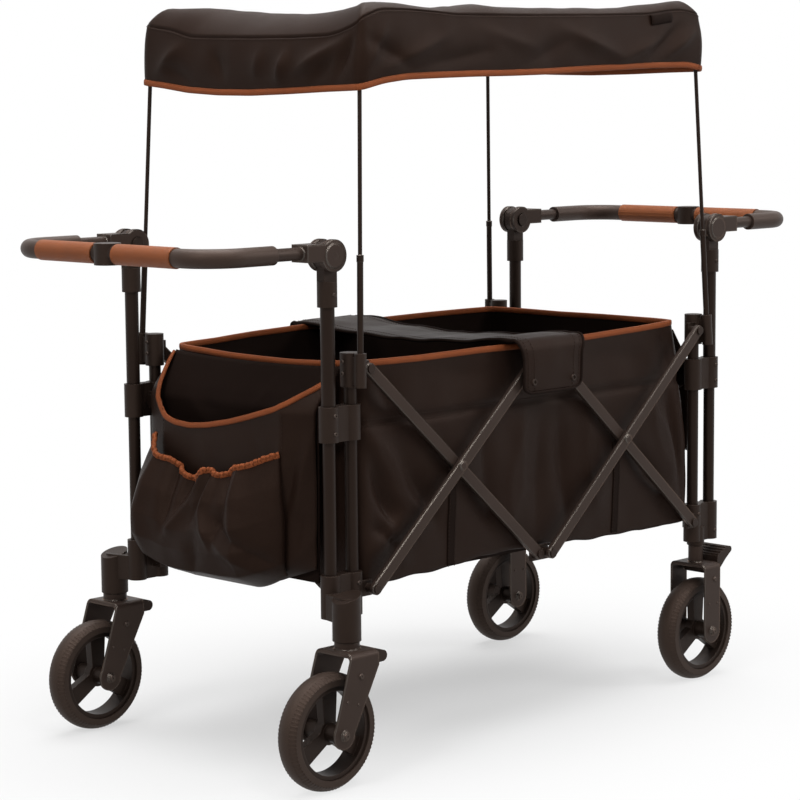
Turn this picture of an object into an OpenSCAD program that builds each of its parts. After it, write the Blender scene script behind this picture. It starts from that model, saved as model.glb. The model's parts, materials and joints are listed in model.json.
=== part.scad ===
// Folding stroller wagon: two end frames on wheels, joined by scissor bars along both sides,
// with a fabric basket, a fabric canopy on four poles and a hinged push handle at each end.
// Front is -X, left is -Y, up is +Z. The origin is on the ground in the middle of the wagon.
// Heights are measured from the tops of the wheels, and the finished pieces are raised by a wheel.

/* [Frame] */
// From the middle to each handle post, along the wagon
post_x = 455; // [440:1:475]
// From the middle to each post, across the wagon
post_y = 225; // [218:1:240]
// From a handle post to the upright beside it
upright_step = 45; // [43:1:50]
// Outer diameter of a handle post below its collar
post_d = 19; // [17:0.5:20]
// Outer diameter of a handle post above its collar
sleeve_d = 21.5; // [20.5:0.5:23]
// Outer diameter of an upright
upright_d = 19; // [17:0.5:20]
// Wall of every steel tube
tube_wall = 1.5; // [1:0.25:2.5]
// Outer diameter of the moulded sockets on the posts
socket_d = 30; // [28:0.5:32]
// Underside of the corner feet above the wheels
foot_z = 66; // [61:1:71]
// Height of a corner foot
foot_h = 65; // [58:1:72]
// From the underside of a collar up to that of the top bracket above it
collar_drop = 79; // [72:1:84]
// Height of a collar
collar_h = 53; // [45:1:60]
// Underside of the top brackets above the wheels
top_bracket_z = 409; // [403:1:415]
// Height of a top bracket
top_bracket_h = 51; // [46:1:56]

/* [Scissor bars] */
// From an upright in to the corner pivots beside it
pivot_inset = 22; // [18:1:30]
// From the middle to the pivots of the mid brackets
mid_pivot_x = 10; // [9.5:0.5:13]
// From the underside of a foot up to its pivot
low_pivot_rise = 38; // [34:1:43]
// From the underside of a top bracket up to its pivot
high_pivot_rise = 26; // [20:1:30]
// Width of a bar
bar_w = 18; // [16:0.5:18]
// Thickness of a bar
bar_t = 8; // [6:0.5:9]
// Space between the inner and the outer bars
bar_gap = 1; // [0.6:0.1:2]
// Diameter of the pivot pins
pin_d = 8; // [6:0.5:9]
// Diameter of the pin heads
pin_head_d = 14; // [12:0.5:15]
// Thickness of the pin heads
pin_head_t = 2.4; // [2:0.2:3]

/* [Wheels] */
// Wheel diameter
wheel_d = 177; // [165:1:182]
// Tyre width
tyre_w = 38; // [34:1:40]
// Radial depth of the tyre
tyre_depth = 18.5; // [15:0.5:22]
// Diameter of the hub of a wheel
hub_d = 28; // [24:1:34]
// Width of a spoke
spoke_w = 22; // [18:1:26]
// Thickness of a spoke
spoke_t = 14; // [10:1:20]
// Diameter of an axle
axle_d = 8; // [7:0.5:10]
// From a front post out to the caster stem beside it, along the wagon
caster_step = 11; // [5:1:17]
// From a front post out to the caster stem beside it, across the wagon
caster_out = 45; // [41:1:53]
// How far a front wheel trails behind its stem
caster_trail = 43; // [35:1:50]
// Diameter of a front caster housing
caster_housing_d = 43; // [40:1:46]
// Diameter of a caster stem
stem_d = 16; // [12:1:18]
// From a rear post in to the wheel below it
rear_wheel_step = 35; // [27:1:39]
// Diameter of a rear fork stem
rear_stem_d = 25; // [22:1:28]
// Underside of the bridge of a fork above the wheels
fork_bridge_z = 23; // [20:1:27]
// Thickness of the bridge of a fork
fork_bridge_t = 6; // [4:0.5:7]
// Thickness of a fork cheek
cheek_t = 3; // [2:0.5:4]
// Radius of a fork cheek around its axle
cheek_r = 21; // [18:0.5:22]
// Space between a tyre and the fork cheeks beside it
cheek_gap = 16; // [14:0.5:18]
// From a caster stem to the leading edge of its fork
fork_front = 26; // [22:1:28]
// From a caster stem to the trailing edge of its fork
fork_back = 29; // [26:1:30]
// Radius of the bends between the bridge and the cheeks of a fork
fork_bend_r = 9; // [7:0.5:11]
// From the pin of a lock lever to its tip
lock_l = 36.5; // [33:0.5:40]
// From the pin of a brake pedal to its tip
pedal_l = 52.5; // [48:0.5:57]
// Width of the lock levers and brake pedals
lever_w = 58; // [50:1:62]

/* [Handles] */
// From a handle post out to the grip
handle_reach = 227; // [215:1:240]
// From the top of a hinge sleeve up to the hinge
hinge_rise = 38; // [36:1:41]
// From a hinge up to the middle of its arm
arm_rise = 5; // [1:1:9]
// Diameter of a hinge knuckle
knuckle_d = 48; // [46:1:52]
// Width of the tongue inside a hinge
tongue_w = 16; // [14:0.5:18]
// Thickness of each side of a hinge fork
knuckle_t = 9; // [8.5:0.5:11]
// Diameter of a hinge pin
hinge_pin_d = 10; // [8:0.5:12]
// Diameter of a release button
button_d = 22; // [18:1:26]
// Travel of a release button
button_travel = 3; // [2:0.5:3]
// Underside of the hinge sleeves above the wheels
hinge_sleeve_z = 530; // [523:1:538]
// Height of a hinge sleeve
hinge_sleeve_h = 38; // [32:1:40]
// Outer diameter of the handle tube
handle_d = 19; // [17:0.5:20]
// Radius of the handle bends
bend_r = 58; // [50:1:66]
// Outer diameter of an elbow cover
elbow_d = 28; // [25:0.5:30]
// Straight length of an elbow cover along an arm
elbow_l = 62; // [50:1:70]
// Outer diameter of a grip
grip_d = 31; // [28:0.5:34]
// Diameter of the hinge barrel in the middle of a grip
barrel_d = 40; // [36:1:44]
// Height of that barrel
barrel_h = 32; // [28:1:38]

/* [Canopy] */
// From an upright out to the foot of its pole, along the wagon
pole_step = 5; // [2:1:10]
// From an upright out to the foot of its pole, across the wagon
pole_out = 27; // [24:1:31]
// How far a pole leans in along the wagon
pole_lean_x = 21; // [18:1:24]
// How far a pole leans in across the wagon
pole_lean_y = 16; // [13:1:18]
// Diameter of the lower part of a pole
pole_d = 9.5; // [8:0.5:10]
// Diameter of the upper part of a pole
pole_tip_d = 6.4; // [5:0.2:7]
// Length of the lower part of a pole
pole_low_l = 190; // [150:5:230]
// From the tips of the poles out to the ends of the canopy
canopy_over_x = 10; // [8:1:18]
// From the tips of the poles out to the sides of the canopy
canopy_over_y = 13; // [11:1:20]
// Height of the canopy hem above the wheels
canopy_hem_z = 861; // [838:1:883]
// Height of the canopy skirt
canopy_skirt = 96; // [80:1:110]
// How much higher the rear hem is than the front one
canopy_rise = 20; // [0:1:30]
// Sag of the hem and the top between the poles
canopy_sag = 12; // [0:1:20]
// Radius of the upright edges of the canopy
canopy_r = 12; // [8:1:14]
// Height of the crown of the canopy, from its edge to its middle
canopy_crown = 12; // [6:1:18]
// Thickness of the canopy cloth
canopy_t = 2.6; // [2:0.2:3]

/* [Basket] */
// From an upright in to the end of the basket
basket_inset = 18; // [16:1:30]
// From the line of the posts out to the side of the basket
basket_out = 4; // [-5:0.5:4.5]
// From the underside of a foot up to the basket floor
basket_rise = 37; // [33:1:43]
// From the underside of a top bracket up to the basket rim
rim_rise = 38; // [30:0.5:38.5]
// Radius of the upright edges of the basket
basket_r = 40; // [34:1:50]
// Thickness of the basket cloth and its lining
cloth_t = 4; // [3:0.5:5]
// Thickness of the floor mat in its middle
mat_t = 18; // [12:1:24]
// Half the width of the centre cover
cover_x = 70; // [60:1:72]
// Height of the flaps of the centre cover
cover_drop = 84; // [70:1:95]
// Cloth thickness of the centre cover
cover_t = 3; // [2:0.5:4]
// From the line of the posts in to the sides of the pockets
pocket_side = 33; // [31:1:45]
// Depth of the front pocket
pocket_depth = 26; // [20:1:32]
// Depth of the front pouch
pouch_depth = 34; // [28:1:40]
// From the basket rim down to the middle of the front pocket's rim
pocket_drop = 119; // [104:1:134]
// From the front pocket's rim down to that of the pouch
pouch_drop = 53; // [40:1:75]

/* [Hidden] */
$fn = 48;

// Ends and sides of the wagon
FRONT = -1;
REAR = 1;
LEFT = -1;
RIGHT = 1;

// Clearances: fixed fits, sliding fits, turning fits and free space beside moving faces
fit = 0.1;
slide_gap = 0.3;
run_fit = 0.05;
face_gap = 0.3;
// Overlap that joins two shapes of one piece
weld = 1;

plastic = [0.2, 0.18, 0.17];
steel = [0.17, 0.15, 0.14];
leather = [0.6, 0.35, 0.2];
cloth = [0.14, 0.11, 0.1];
rubber = [0.1, 0.1, 0.1];

upright_x = post_x - upright_step;
socket_wall = 5;
collar_z = top_bracket_z - collar_drop;
collar_top = collar_z + collar_h;
bracket_top = top_bracket_z + top_bracket_h;
web_w = 18;

// Scissor layers, from the basket outwards
plate_out = 6;
plate_v = post_y + plate_out;
plate_t = 6;
boss_l = 2;
inner_v = plate_v + plate_t + boss_l;
outer_v = inner_v + bar_t + bar_gap;
pivot_plate_h = 24;
boss_d = 14;
mid_plate_edge = 3;
pivot_x = upright_x - pivot_inset;
low_pivot_z = foot_z + low_pivot_rise;
high_pivot_z = top_bracket_z + high_pivot_rise;
cross_x = (pivot_x + mid_pivot_x) / 2;
cross_z = (low_pivot_z + high_pivot_z) / 2;

// End brace: two flat bars that cross between the posts
brace_t = 3;
brace_w = 18;
brace_inset = 18;
brace_foot_rise = 33;
brace_collar_rise = 26;
brace_low_z = foot_z + brace_foot_rise;
brace_high_z = collar_z + brace_collar_rise;
brace_u = post_x - (upright_step + brace_t) / 2;
brace_end_y = post_y - brace_inset;
brace_tab = [11, 22, 27];
brace_rivet_t = 1.5;

// Wheels
axle_z = -wheel_d / 2;
caster_x = post_x + caster_step;
caster_y = post_y + caster_out;
front_wheel_x = caster_x + caster_trail;
rear_wheel_x = post_x - rear_wheel_step;
rim_r = wheel_d / 2 - tyre_depth;
tyre_crown_r = 24;
cheek_v = tyre_w / 2 + cheek_gap;
rim_inset = 3;
rim_t = 7;
hub_gap = 1;
hub_web = 5;
spoke_flare = 4;
bridge_top = fork_bridge_z + fork_bridge_t;
fork_shoulder = 23;
axle_head_d = axle_d * 1.75;
axle_head_t = 4;
fork_hub_d = 38;
caster_below = 25;
caster_above = 48;
caster_cut_drop = 8;
caster_cut_angle = 18;
caster_arm_w = 26;
caster_arm_drop = 26;
caster_low_z = foot_z - caster_below;
caster_high_z = foot_z + caster_above;
stem_depth = 50;
stem_end_gap = 2;
rear_boss_h = 7;
lever_drop = 9;
lever_pivot_z = fork_bridge_z - lever_drop;
lever_hub_d = 12;
lever_pin_d = 6;
lock_setback = 18;
lock_pivot_x = caster_x - lock_setback;
pedal_setback = 12;
pedal_pivot_x = rear_wheel_x + pedal_setback;
// Side view of a lock lever from its pin, over the top to the underside, and the middle of its nose
lock_side = lock_l * [[0, 0.164], [0.274, 0.178], [0.356, 0.301], [0.575, 0.329], [0.795, 0.247],
                      [0.712, -0.205], [0.274, -0.219], [0, -0.164]];
lock_nose = lock_l * [0.767, 0.027];
lock_nose_d = lock_l * 0.466;
// The same for a brake pedal, and the line of its ribs
pedal_side = pedal_l * [[0, 0.114], [0.133, 0.124], [0.219, 0.171], [0.248, 0.457], [0.724, 0.733],
                        [0.857, 0.705], [0.952, 0.524], [0.686, 0.324], [0.419, 0.076],
                        [0.171, -0.114], [0, -0.114]];
pedal_nose = pedal_l * [0.895, 0.61];
pedal_nose_d = pedal_l * 0.21;
rib_from = pedal_l * [0.324, 0.501];
rib_to = pedal_l * [0.667, 0.7];
rib_count = 4;
rib_d = 3;

// Handles
grip_x = post_x + handle_reach;
hinge_z = hinge_sleeve_z + hinge_sleeve_h + hinge_rise;
arm_z = hinge_z + arm_rise;
tongue_step = 2;
tongue_d = knuckle_d - 2 * tongue_step;
knuckle_in = post_y - tongue_w / 2 - slide_gap - knuckle_t;
knuckle_out = post_y + tongue_w / 2 + slide_gap;
knuckle_cap_step = 6;
knuckle_cap_d = knuckle_d - 2 * knuckle_cap_step;
knuckle_cap_t = 2;
arm_block_gap = 1.5;
arm_block_l = 28;
arm_block_h = 26;
neck_w = 26;
elbow_grip_l = 12;
elbow_end_y = post_y - bend_r - elbow_grip_l;
button_l = 6.5;
button_flush = 0.2;
button_floor_gap = 0.5;
recess_depth = button_l + button_floor_gap;
joint_socket_d = 27;
joint_socket_l = 24;
joint_stop_y = joint_socket_l / 4;
sleeve_cap = 3;
sleeve_lap = 5;

// Poles
pole_x = upright_x + pole_step;
pole_y = post_y + pole_out;
pole_floor = 4;
pole_foot_z = top_bracket_z + pole_floor;
pole_tip_drop = 32;
pole_top_z = canopy_hem_z + canopy_skirt - pole_tip_drop;
pole_rise = pole_top_z - pole_foot_z;
pole_l = sqrt(pow(pole_lean_x, 2) + pow(pole_lean_y, 2) + pow(pole_rise, 2));
pole_socket_d = 18;
pole_web = [12, 10];
ferrule_t = 0.7;
ferrule_l = 10;
ferrule_lap = 2;

// Canopy and basket
canopy_x = pole_x - pole_lean_x + canopy_over_x;
canopy_y = pole_y - pole_lean_y + canopy_over_y;
basket_x = upright_x - basket_inset;
basket_y = post_y + basket_out;
basket_z = foot_z + basket_rise;
rim_z = top_bracket_z + rim_rise;

// Canopy and mat outlines: points on each straight side and on each corner
quarter = 90;
side_steps = 8;
corner_steps = 4;
mat_r = 34;
mat_gap = 3;
mat_edge = 0.35;
mat_pull = 9;

// Centre cover
flap_r = 16;

// Pockets
pocket_y = post_y - pocket_side;
pocket_inset = 15;
pocket_back_u = post_x - pocket_inset;
pocket_t = 3;
panel_drop = 6;
panel_top = rim_z - panel_drop;
mouth_drop = 8;
pocket_rim_z = rim_z - pocket_drop;
pouch_rim_z = pocket_rim_z - pouch_drop;
pocket_sink = 7;
pocket_low_z = basket_z - pocket_sink;
pouch_sink = 7;
pouch_low_z = pocket_low_z - pouch_sink;
shoulder_drop = 79;
pocket_shoulder_z = rim_z - shoulder_drop;
rear_pocket_depth = 22;
rear_pocket_drop = 124;
rear_pocket_h = 110;
rear_pocket_rim_z = rim_z - rear_pocket_drop;
rear_pocket_low_z = rear_pocket_rim_z - rear_pocket_h;
// From the basket to the top of a bag wall
bag_lip = 42;
// Profile of a bag: how far the front draws in, its low corner and where on its height it is fullest
bag_draw = 0.2;
bag_slack = 2;
bag_toe = [10, 12];
bag_toe_rise = 3;
bag_full = [0.2, 0.65];
// The same for the pouch
pouch_draw = 0.25;
pouch_toe = [6, 14];
pouch_toe_rise = 4;
pouch_full = [0.22, 0.6];

// Lifts a finished piece so that its wheels stand on the ground
module raise() {
  translate([0, 0, wheel_d]) children();
}

// Draws in the quarter that is at the given end and side; shapes are written for +X, +Y
module place(end, side) {
  mirror([end < 0 ? 1 : 0, 0, 0]) mirror([0, side < 0 ? 1 : 0, 0]) children();
}

module both_sides(end) {
  for (side = [LEFT, RIGHT]) place(end, side) children();
}

// A round bar along X
module rod_x(x0, x1, y, z, d) {
  translate([x0, y, z]) rotate([0, 90, 0]) cylinder(d = d, h = x1 - x0);
}

// A round bar along Y
module rod_y(x, z, y0, y1, d) {
  translate([x, y0, z]) rotate([-90, 0, 0]) cylinder(d = d, h = y1 - y0);
}

// An outline in the X-Z plane, given thickness along Y
module along_y(y0, t) {
  translate([0, y0 + t, 0]) rotate([90, 0, 0]) linear_extrude(t) children();
}

// An outline in the Y-Z plane, given thickness along X
module along_x(x0, t) {
  translate([x0, 0, 0]) rotate([90, 0, 90]) linear_extrude(t) children();
}

// A flat link with round ends between two points
module link_2d(a, b, w) {
  l = norm(b - a);
  translate(a) rotate(atan2(b.y - a.y, b.x - a.x)) {
    translate([0, -w / 2]) square([l, w]);
    circle(d = w);
    translate([l, 0]) circle(d = w);
  }
}

// A tube that stands upright
module tube_z(x, y, z0, z1, d) {
  translate([x, y, z0]) difference() {
    cylinder(d = d, h = z1 - z0);
    translate([0, 0, -weld]) cylinder(d = d - 2 * tube_wall, h = z1 - z0 + 2 * weld);
  }
}

// Pivot plate, spacer, pin and head that carry one end of a scissor bar
module pivot(x, z, layer, plate_x0, plate_x1) {
  spacer_end = layer - face_gap;
  head = layer + bar_t + face_gap;
  translate([plate_x0, plate_v, z - pivot_plate_h / 2])
    cube([plate_x1 - plate_x0, plate_t, pivot_plate_h]);
  rod_y(x, z, plate_v + plate_t - weld, spacer_end, boss_d);
  rod_y(x, z, spacer_end - weld, head + weld, pin_d);
  rod_y(x, z, head, head + pin_head_t, pin_head_d);
}

// Two sockets side by side for the handle post and the upright, with the web between them
module twin_socket(z0, h) {
  for (x = [post_x, upright_x]) translate([x, post_y, z0]) cylinder(d = socket_d, h = h);
  translate([upright_x, post_y - web_w / 2, z0]) cube([upright_step, web_w, h]);
}

// Lug on a foot or collar that the end brace is riveted to
module brace_lug(z) {
  translate([brace_u - brace_tab.x, brace_end_y - brace_tab.y / 2, z - brace_tab.z / 2]) cube(brace_tab);
}

// Bearing housing of a front caster, cut at a slant on top
module caster_housing() {
  translate([caster_x, caster_y, caster_low_z]) difference() {
    cylinder(d = caster_housing_d, h = caster_high_z - caster_low_z);
    translate([0, 0, caster_high_z - caster_low_z - caster_cut_drop]) rotate([0, caster_cut_angle, 0])
      translate([-caster_housing_d, -caster_housing_d, 0]) cube(2 * caster_housing_d);
  }
}

module foot_bores() {
  translate([post_x, post_y, foot_z + socket_wall]) cylinder(d = post_d + 2 * fit, h = foot_h);
  translate([upright_x, post_y, foot_z + socket_wall])
    cylinder(d = upright_d + 2 * slide_gap, h = foot_h);
}

module front_foot(side) {
  color(plastic) place(FRONT, side) difference() {
    union() {
      twin_socket(foot_z, foot_h);
      translate([0, 0, foot_z]) linear_extrude(foot_h - caster_arm_drop)
        link_2d([post_x, post_y], [caster_x, caster_y], caster_arm_w);
      caster_housing();
      brace_lug(brace_low_z);
      pivot(pivot_x, low_pivot_z, outer_v, pivot_x - boss_d / 2, upright_x);
    }
    foot_bores();
    translate([caster_x, caster_y, caster_low_z - weld])
      cylinder(d = stem_d + 2 * run_fit, h = stem_depth + stem_end_gap + weld);
  }
}

module rear_foot(side) {
  color(plastic) place(REAR, side) difference() {
    union() {
      twin_socket(foot_z, foot_h);
      translate([rear_wheel_x, post_y, foot_z - rear_boss_h]) cylinder(d = socket_d, h = foot_h / 2);
      brace_lug(brace_low_z);
      pivot(pivot_x, low_pivot_z, inner_v, pivot_x - boss_d / 2, upright_x);
    }
    foot_bores();
  }
}

module handle_posts(end) {
  color(steel) both_sides(end) {
    tube_z(post_x, post_y, foot_z + socket_wall, collar_top + sleeve_lap, post_d);
    tube_z(post_x, post_y, collar_top, hinge_sleeve_z + hinge_sleeve_h - sleeve_cap, sleeve_d);
  }
}

module collars(end) {
  color(plastic) both_sides(end) difference() {
    union() {
      twin_socket(collar_z, collar_h);
      brace_lug(brace_high_z);
    }
    translate([post_x, post_y, collar_z - weld]) cylinder(d = post_d + 2 * fit, h = collar_h + 2 * weld);
    translate([upright_x, post_y, collar_z - weld])
      cylinder(d = upright_d + 2 * slide_gap, h = collar_h + 2 * weld);
  }
}

// Two crossed flat bars, the second on spacers so that it clears the first, with one rivet
module cross_brace(end) {
  low = [brace_end_y, brace_low_z];
  high = [-brace_end_y, brace_high_z];
  second_u = brace_u + brace_t + face_gap;
  middle_z = (brace_low_z + brace_high_z) / 2;
  color(steel) place(end, RIGHT) {
    along_x(brace_u, brace_t) link_2d(low, high, brace_w);
    along_x(second_u, brace_t) link_2d([-low.x, low.y], [-high.x, high.y], brace_w);
    for (p = [[-low.x, low.y], [-high.x, high.y]]) rod_x(brace_u, second_u + weld, p.x, p.y, boss_d);
    rod_x(brace_u, second_u + brace_t + brace_rivet_t, 0, middle_z, boss_d);
  }
}

// Sleeve on a handle post with the hinge tongue and its pin
module hinge_sockets(end) {
  sleeve_top = hinge_sleeve_z + hinge_sleeve_h;
  color(plastic) both_sides(end) {
    difference() {
      translate([post_x, post_y, hinge_sleeve_z]) cylinder(d = socket_d, h = hinge_sleeve_h);
      translate([post_x, post_y, hinge_sleeve_z - weld])
        cylinder(d = sleeve_d + 2 * fit, h = hinge_sleeve_h - sleeve_cap + weld);
    }
    translate([post_x - neck_w / 2, post_y - tongue_w / 2, sleeve_top - weld])
      cube([neck_w, tongue_w, hinge_z - sleeve_top + weld]);
    rod_y(post_x, hinge_z, post_y - tongue_w / 2, post_y + tongue_w / 2, tongue_d);
    rod_y(post_x, hinge_z, knuckle_in + recess_depth + face_gap, knuckle_out + knuckle_t - weld, hinge_pin_d);
  }
}

// Handle tube of one side: arm, bend and half of the grip bar, at a given diameter
module handle_run(x0, y1, d) {
  bend_x = grip_x - bend_r;
  bend_y = post_y - bend_r;
  rod_x(x0, bend_x, post_y, arm_z, d);
  translate([bend_x, bend_y, arm_z]) rotate_extrude(angle = 90) translate([bend_r, 0]) circle(d = d);
  rod_y(grip_x, arm_z, y1, bend_y, d);
}

// Arm with its hinge fork, bent tube and button recess
module arms(end) {
  block_x = post_x + knuckle_d / 2 + arm_block_gap;
  outer_face = knuckle_out + knuckle_t;
  color(steel) both_sides(end) difference() {
    union() {
      for (y = [knuckle_in, knuckle_out]) {
        rod_y(post_x, hinge_z, y, y + knuckle_t, knuckle_d);
        translate([post_x, y, arm_z - arm_block_h / 2])
          cube([block_x - post_x + weld, knuckle_t, arm_block_h]);
      }
      rod_y(post_x, hinge_z, outer_face - weld, outer_face + knuckle_cap_t, knuckle_cap_d);
      translate([block_x, knuckle_in, arm_z - arm_block_h / 2])
        cube([arm_block_l, outer_face - knuckle_in, arm_block_h]);
      handle_run(block_x, joint_stop_y, handle_d);
    }
    rod_y(post_x, hinge_z, knuckle_in - weld, knuckle_in + recess_depth, button_d + 2 * run_fit);
    rod_y(post_x, hinge_z, knuckle_in, outer_face, hinge_pin_d + 2 * run_fit);
  }
}

// Moulded covers over the handle bends
module elbows(end) {
  start_x = grip_x - bend_r - elbow_l;
  color(plastic) both_sides(end) difference() {
    handle_run(start_x, elbow_end_y, elbow_d);
    handle_run(start_x - weld, elbow_end_y - weld, handle_d + 2 * fit);
  }
}

module grips(end) {
  color(leather) both_sides(end) difference() {
    rod_y(grip_x, arm_z, joint_socket_l + face_gap, elbow_end_y - face_gap, grip_d);
    rod_y(grip_x, arm_z, joint_socket_l - weld, elbow_end_y + weld, handle_d + 2 * fit);
  }
}

// Upright hinge barrel between the two halves of a grip
module grip_joint(end) {
  color(plastic) place(end, RIGHT) difference() {
    union() {
      translate([grip_x, 0, arm_z - barrel_h / 2]) cylinder(d = barrel_d, h = barrel_h);
      rod_y(grip_x, arm_z, -joint_socket_l, joint_socket_l, joint_socket_d);
    }
    bore_l = joint_socket_l - joint_stop_y + face_gap + weld;
    for (y = [-joint_socket_l - weld, joint_stop_y - face_gap])
      rod_y(grip_x, arm_z, y, y + bore_l, handle_d + 2 * fit);
  }
}

module button(end, side) {
  rest_y = knuckle_in - button_travel;
  color(plastic) place(end, side)
    rod_y(post_x, hinge_z, rest_y + button_flush, rest_y + button_l, button_d);
}

// Side view of a fork plate from its top to the round end at the axle
module cheek_2d(x0, x1, shoulder_z, wheel) {
  polygon([[x0, bridge_top], [x1, bridge_top], [wheel + cheek_r, axle_z], [wheel - cheek_r, axle_z],
           [x0, shoulder_z]]);
  translate([wheel, axle_z]) circle(r = cheek_r);
}

// Upright outline with round upper corners
module arch_2d(mid, half, low, top, r) {
  translate([mid - half, low]) square([2 * half, top - r - low]);
  translate([mid - half + r, low]) square([2 * (half - r), top - low]);
  for (y = [r - half, half - r]) translate([mid + y, top - r]) circle(r);
}

// Bent fork plate with its axle and the pin of its lever
module fork(x0, x1, shoulder_z, track, wheel, pin_x) {
  half = cheek_v + cheek_t;
  low = axle_z - cheek_r - weld;
  from = min(x0, wheel - cheek_r) - weld;
  to = max(x1, wheel + cheek_r) + weld;
  intersection() {
    along_x(from, to - from) difference() {
      arch_2d(track, half, low, bridge_top, fork_bend_r);
      arch_2d(track, cheek_v, low - weld, fork_bridge_z, fork_bend_r - cheek_t);
    }
    along_y(track - half - weld, 2 * (half + weld)) cheek_2d(x0, x1, shoulder_z, wheel);
  }
  rod_y(wheel, axle_z, track - half, track + half, axle_d);
  for (y = [-half - axle_head_t, half - weld])
    rod_y(wheel, axle_z, track + y, track + y + axle_head_t + weld, axle_head_d);
  rod_y(pin_x, lever_pivot_z, track - cheek_v - weld, track + cheek_v + weld, lever_pin_d);
}

module front_fork(side) {
  color(steel) place(FRONT, side) {
    fork(caster_x - fork_back, caster_x + fork_front, bridge_top - fork_shoulder, caster_y, front_wheel_x,
         lock_pivot_x);
    translate([caster_x, caster_y, bridge_top - weld])
      cylinder(d = fork_hub_d, h = caster_low_z - face_gap - bridge_top + weld);
    translate([caster_x, caster_y, bridge_top])
      cylinder(d = stem_d, h = caster_low_z - bridge_top + stem_depth);
  }
}

module rear_fork(side) {
  color(steel) place(REAR, side) {
    fork(rear_wheel_x - cheek_r, rear_wheel_x + cheek_r, bridge_top - fork_shoulder, post_y, rear_wheel_x,
         pedal_pivot_x);
    translate([rear_wheel_x, post_y, bridge_top - weld])
      cylinder(d = rear_stem_d, h = foot_z - rear_boss_h - bridge_top + weld);
  }
}

// Hub web and three spokes that widen towards the ring
module spokes_2d() {
  reach = rim_r - rim_t / 2;
  wide = spoke_w / 2 + spoke_flare;
  circle(d = hub_d + 2 * hub_web);
  for (i = [0:2]) rotate(90 + i * 120)
    polygon([[0, -spoke_w / 2], [reach, -wide], [reach, wide], [0, spoke_w / 2]]);
}

// Wheel rim with three broad spokes, turning on its axle
module rim(end, side, wheel, track) {
  ring_w = tyre_w - 2 * rim_inset;
  hub_half = cheek_v - hub_gap;
  color(plastic) place(end, side) translate([wheel, track, axle_z]) rotate([90, 0, 0]) difference() {
    union() {
      rotate_extrude() translate([rim_r - fit - rim_t, -ring_w / 2]) square([rim_t, ring_w]);
      translate([0, 0, -hub_half]) cylinder(d = hub_d, h = 2 * hub_half);
      translate([0, 0, -spoke_t / 2]) linear_extrude(spoke_t) spokes_2d();
    }
    translate([0, 0, -tyre_w]) cylinder(d = axle_d + 2 * run_fit, h = 2 * tyre_w);
  }
}

module tyre(end, side, wheel, track) {
  color(rubber) place(end, side) translate([wheel, track, axle_z]) rotate([90, 0, 0])
    rotate_extrude() intersection() {
      translate([wheel_d / 2 - tyre_crown_r, 0]) circle(r = tyre_crown_r);
      translate([rim_r, -tyre_w / 2]) square([tyre_depth + weld, tyre_w]);
    }
}

// Lever on a pin between the fork cheeks, given by its side view and its round nose
module lever(side_view, nose, nose_d) {
  half = lever_w / 2;
  difference() {
    union() {
      rod_y(0, 0, -half, half, lever_hub_d);
      rod_y(nose.x, nose.y, -half, half, nose_d);
      along_y(-half, lever_w) polygon(side_view);
      children();
    }
    rod_y(0, 0, -lever_w, lever_w, lever_pin_d + 2 * run_fit);
  }
}

module lock(side) {
  color(plastic) place(FRONT, side) translate([lock_pivot_x, caster_y, lever_pivot_z]) mirror([1, 0, 0])
    lever(lock_side, lock_nose, lock_nose_d);
}

module pedal(side) {
  step = (rib_to - rib_from) / (rib_count - 1);
  color(plastic) place(REAR, side) translate([pedal_pivot_x, post_y, lever_pivot_z])
    lever(pedal_side, pedal_nose, pedal_nose_d)
      for (i = [0:rib_count - 1])
        rod_y(rib_from.x + i * step.x, rib_from.y + i * step.y, -lever_w / 2, lever_w / 2, rib_d);
}

module uprights(end) {
  color(steel) both_sides(end)
    tube_z(upright_x, post_y, foot_z + socket_wall + face_gap, bracket_top - socket_wall, upright_d);
}

// Turns and moves to the foot of a pole, with Z along the pole
module pole_frame() {
  translate([pole_x, pole_y, pole_foot_z])
    rotate([atan2(pole_lean_y, pole_rise), -atan2(pole_lean_x, pole_rise), 0]) children();
}

module top_brackets(end) {
  layer = end == FRONT ? inner_v : outer_v;
  color(plastic) both_sides(end) difference() {
    union() {
      translate([upright_x, post_y, top_bracket_z]) cylinder(d = socket_d, h = top_bracket_h);
      pole_frame() translate([0, 0, -pole_floor]) cylinder(d = pole_socket_d, h = top_bracket_h);
      translate([upright_x - pole_web.x / 3, post_y, top_bracket_z + pole_floor])
        cube([pole_web.x, pole_y - post_y, top_bracket_h - pole_web.y]);
      pivot(pivot_x, high_pivot_z, layer, pivot_x - boss_d / 2, upright_x);
    }
    translate([upright_x, post_y, top_bracket_z - weld])
      cylinder(d = upright_d + 2 * fit, h = top_bracket_h - socket_wall + weld);
    pole_frame() cylinder(d = pole_d + 2 * fit, h = 2 * top_bracket_h);
  }
}

module poles(end) {
  color(steel) both_sides(end) pole_frame() {
    cylinder(d = pole_d, h = pole_low_l);
    cylinder(d = pole_tip_d, h = pole_l);
    translate([0, 0, pole_low_l + ferrule_lap - ferrule_l])
      cylinder(d = pole_d + 2 * ferrule_t, h = ferrule_l);
  }
}

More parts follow.
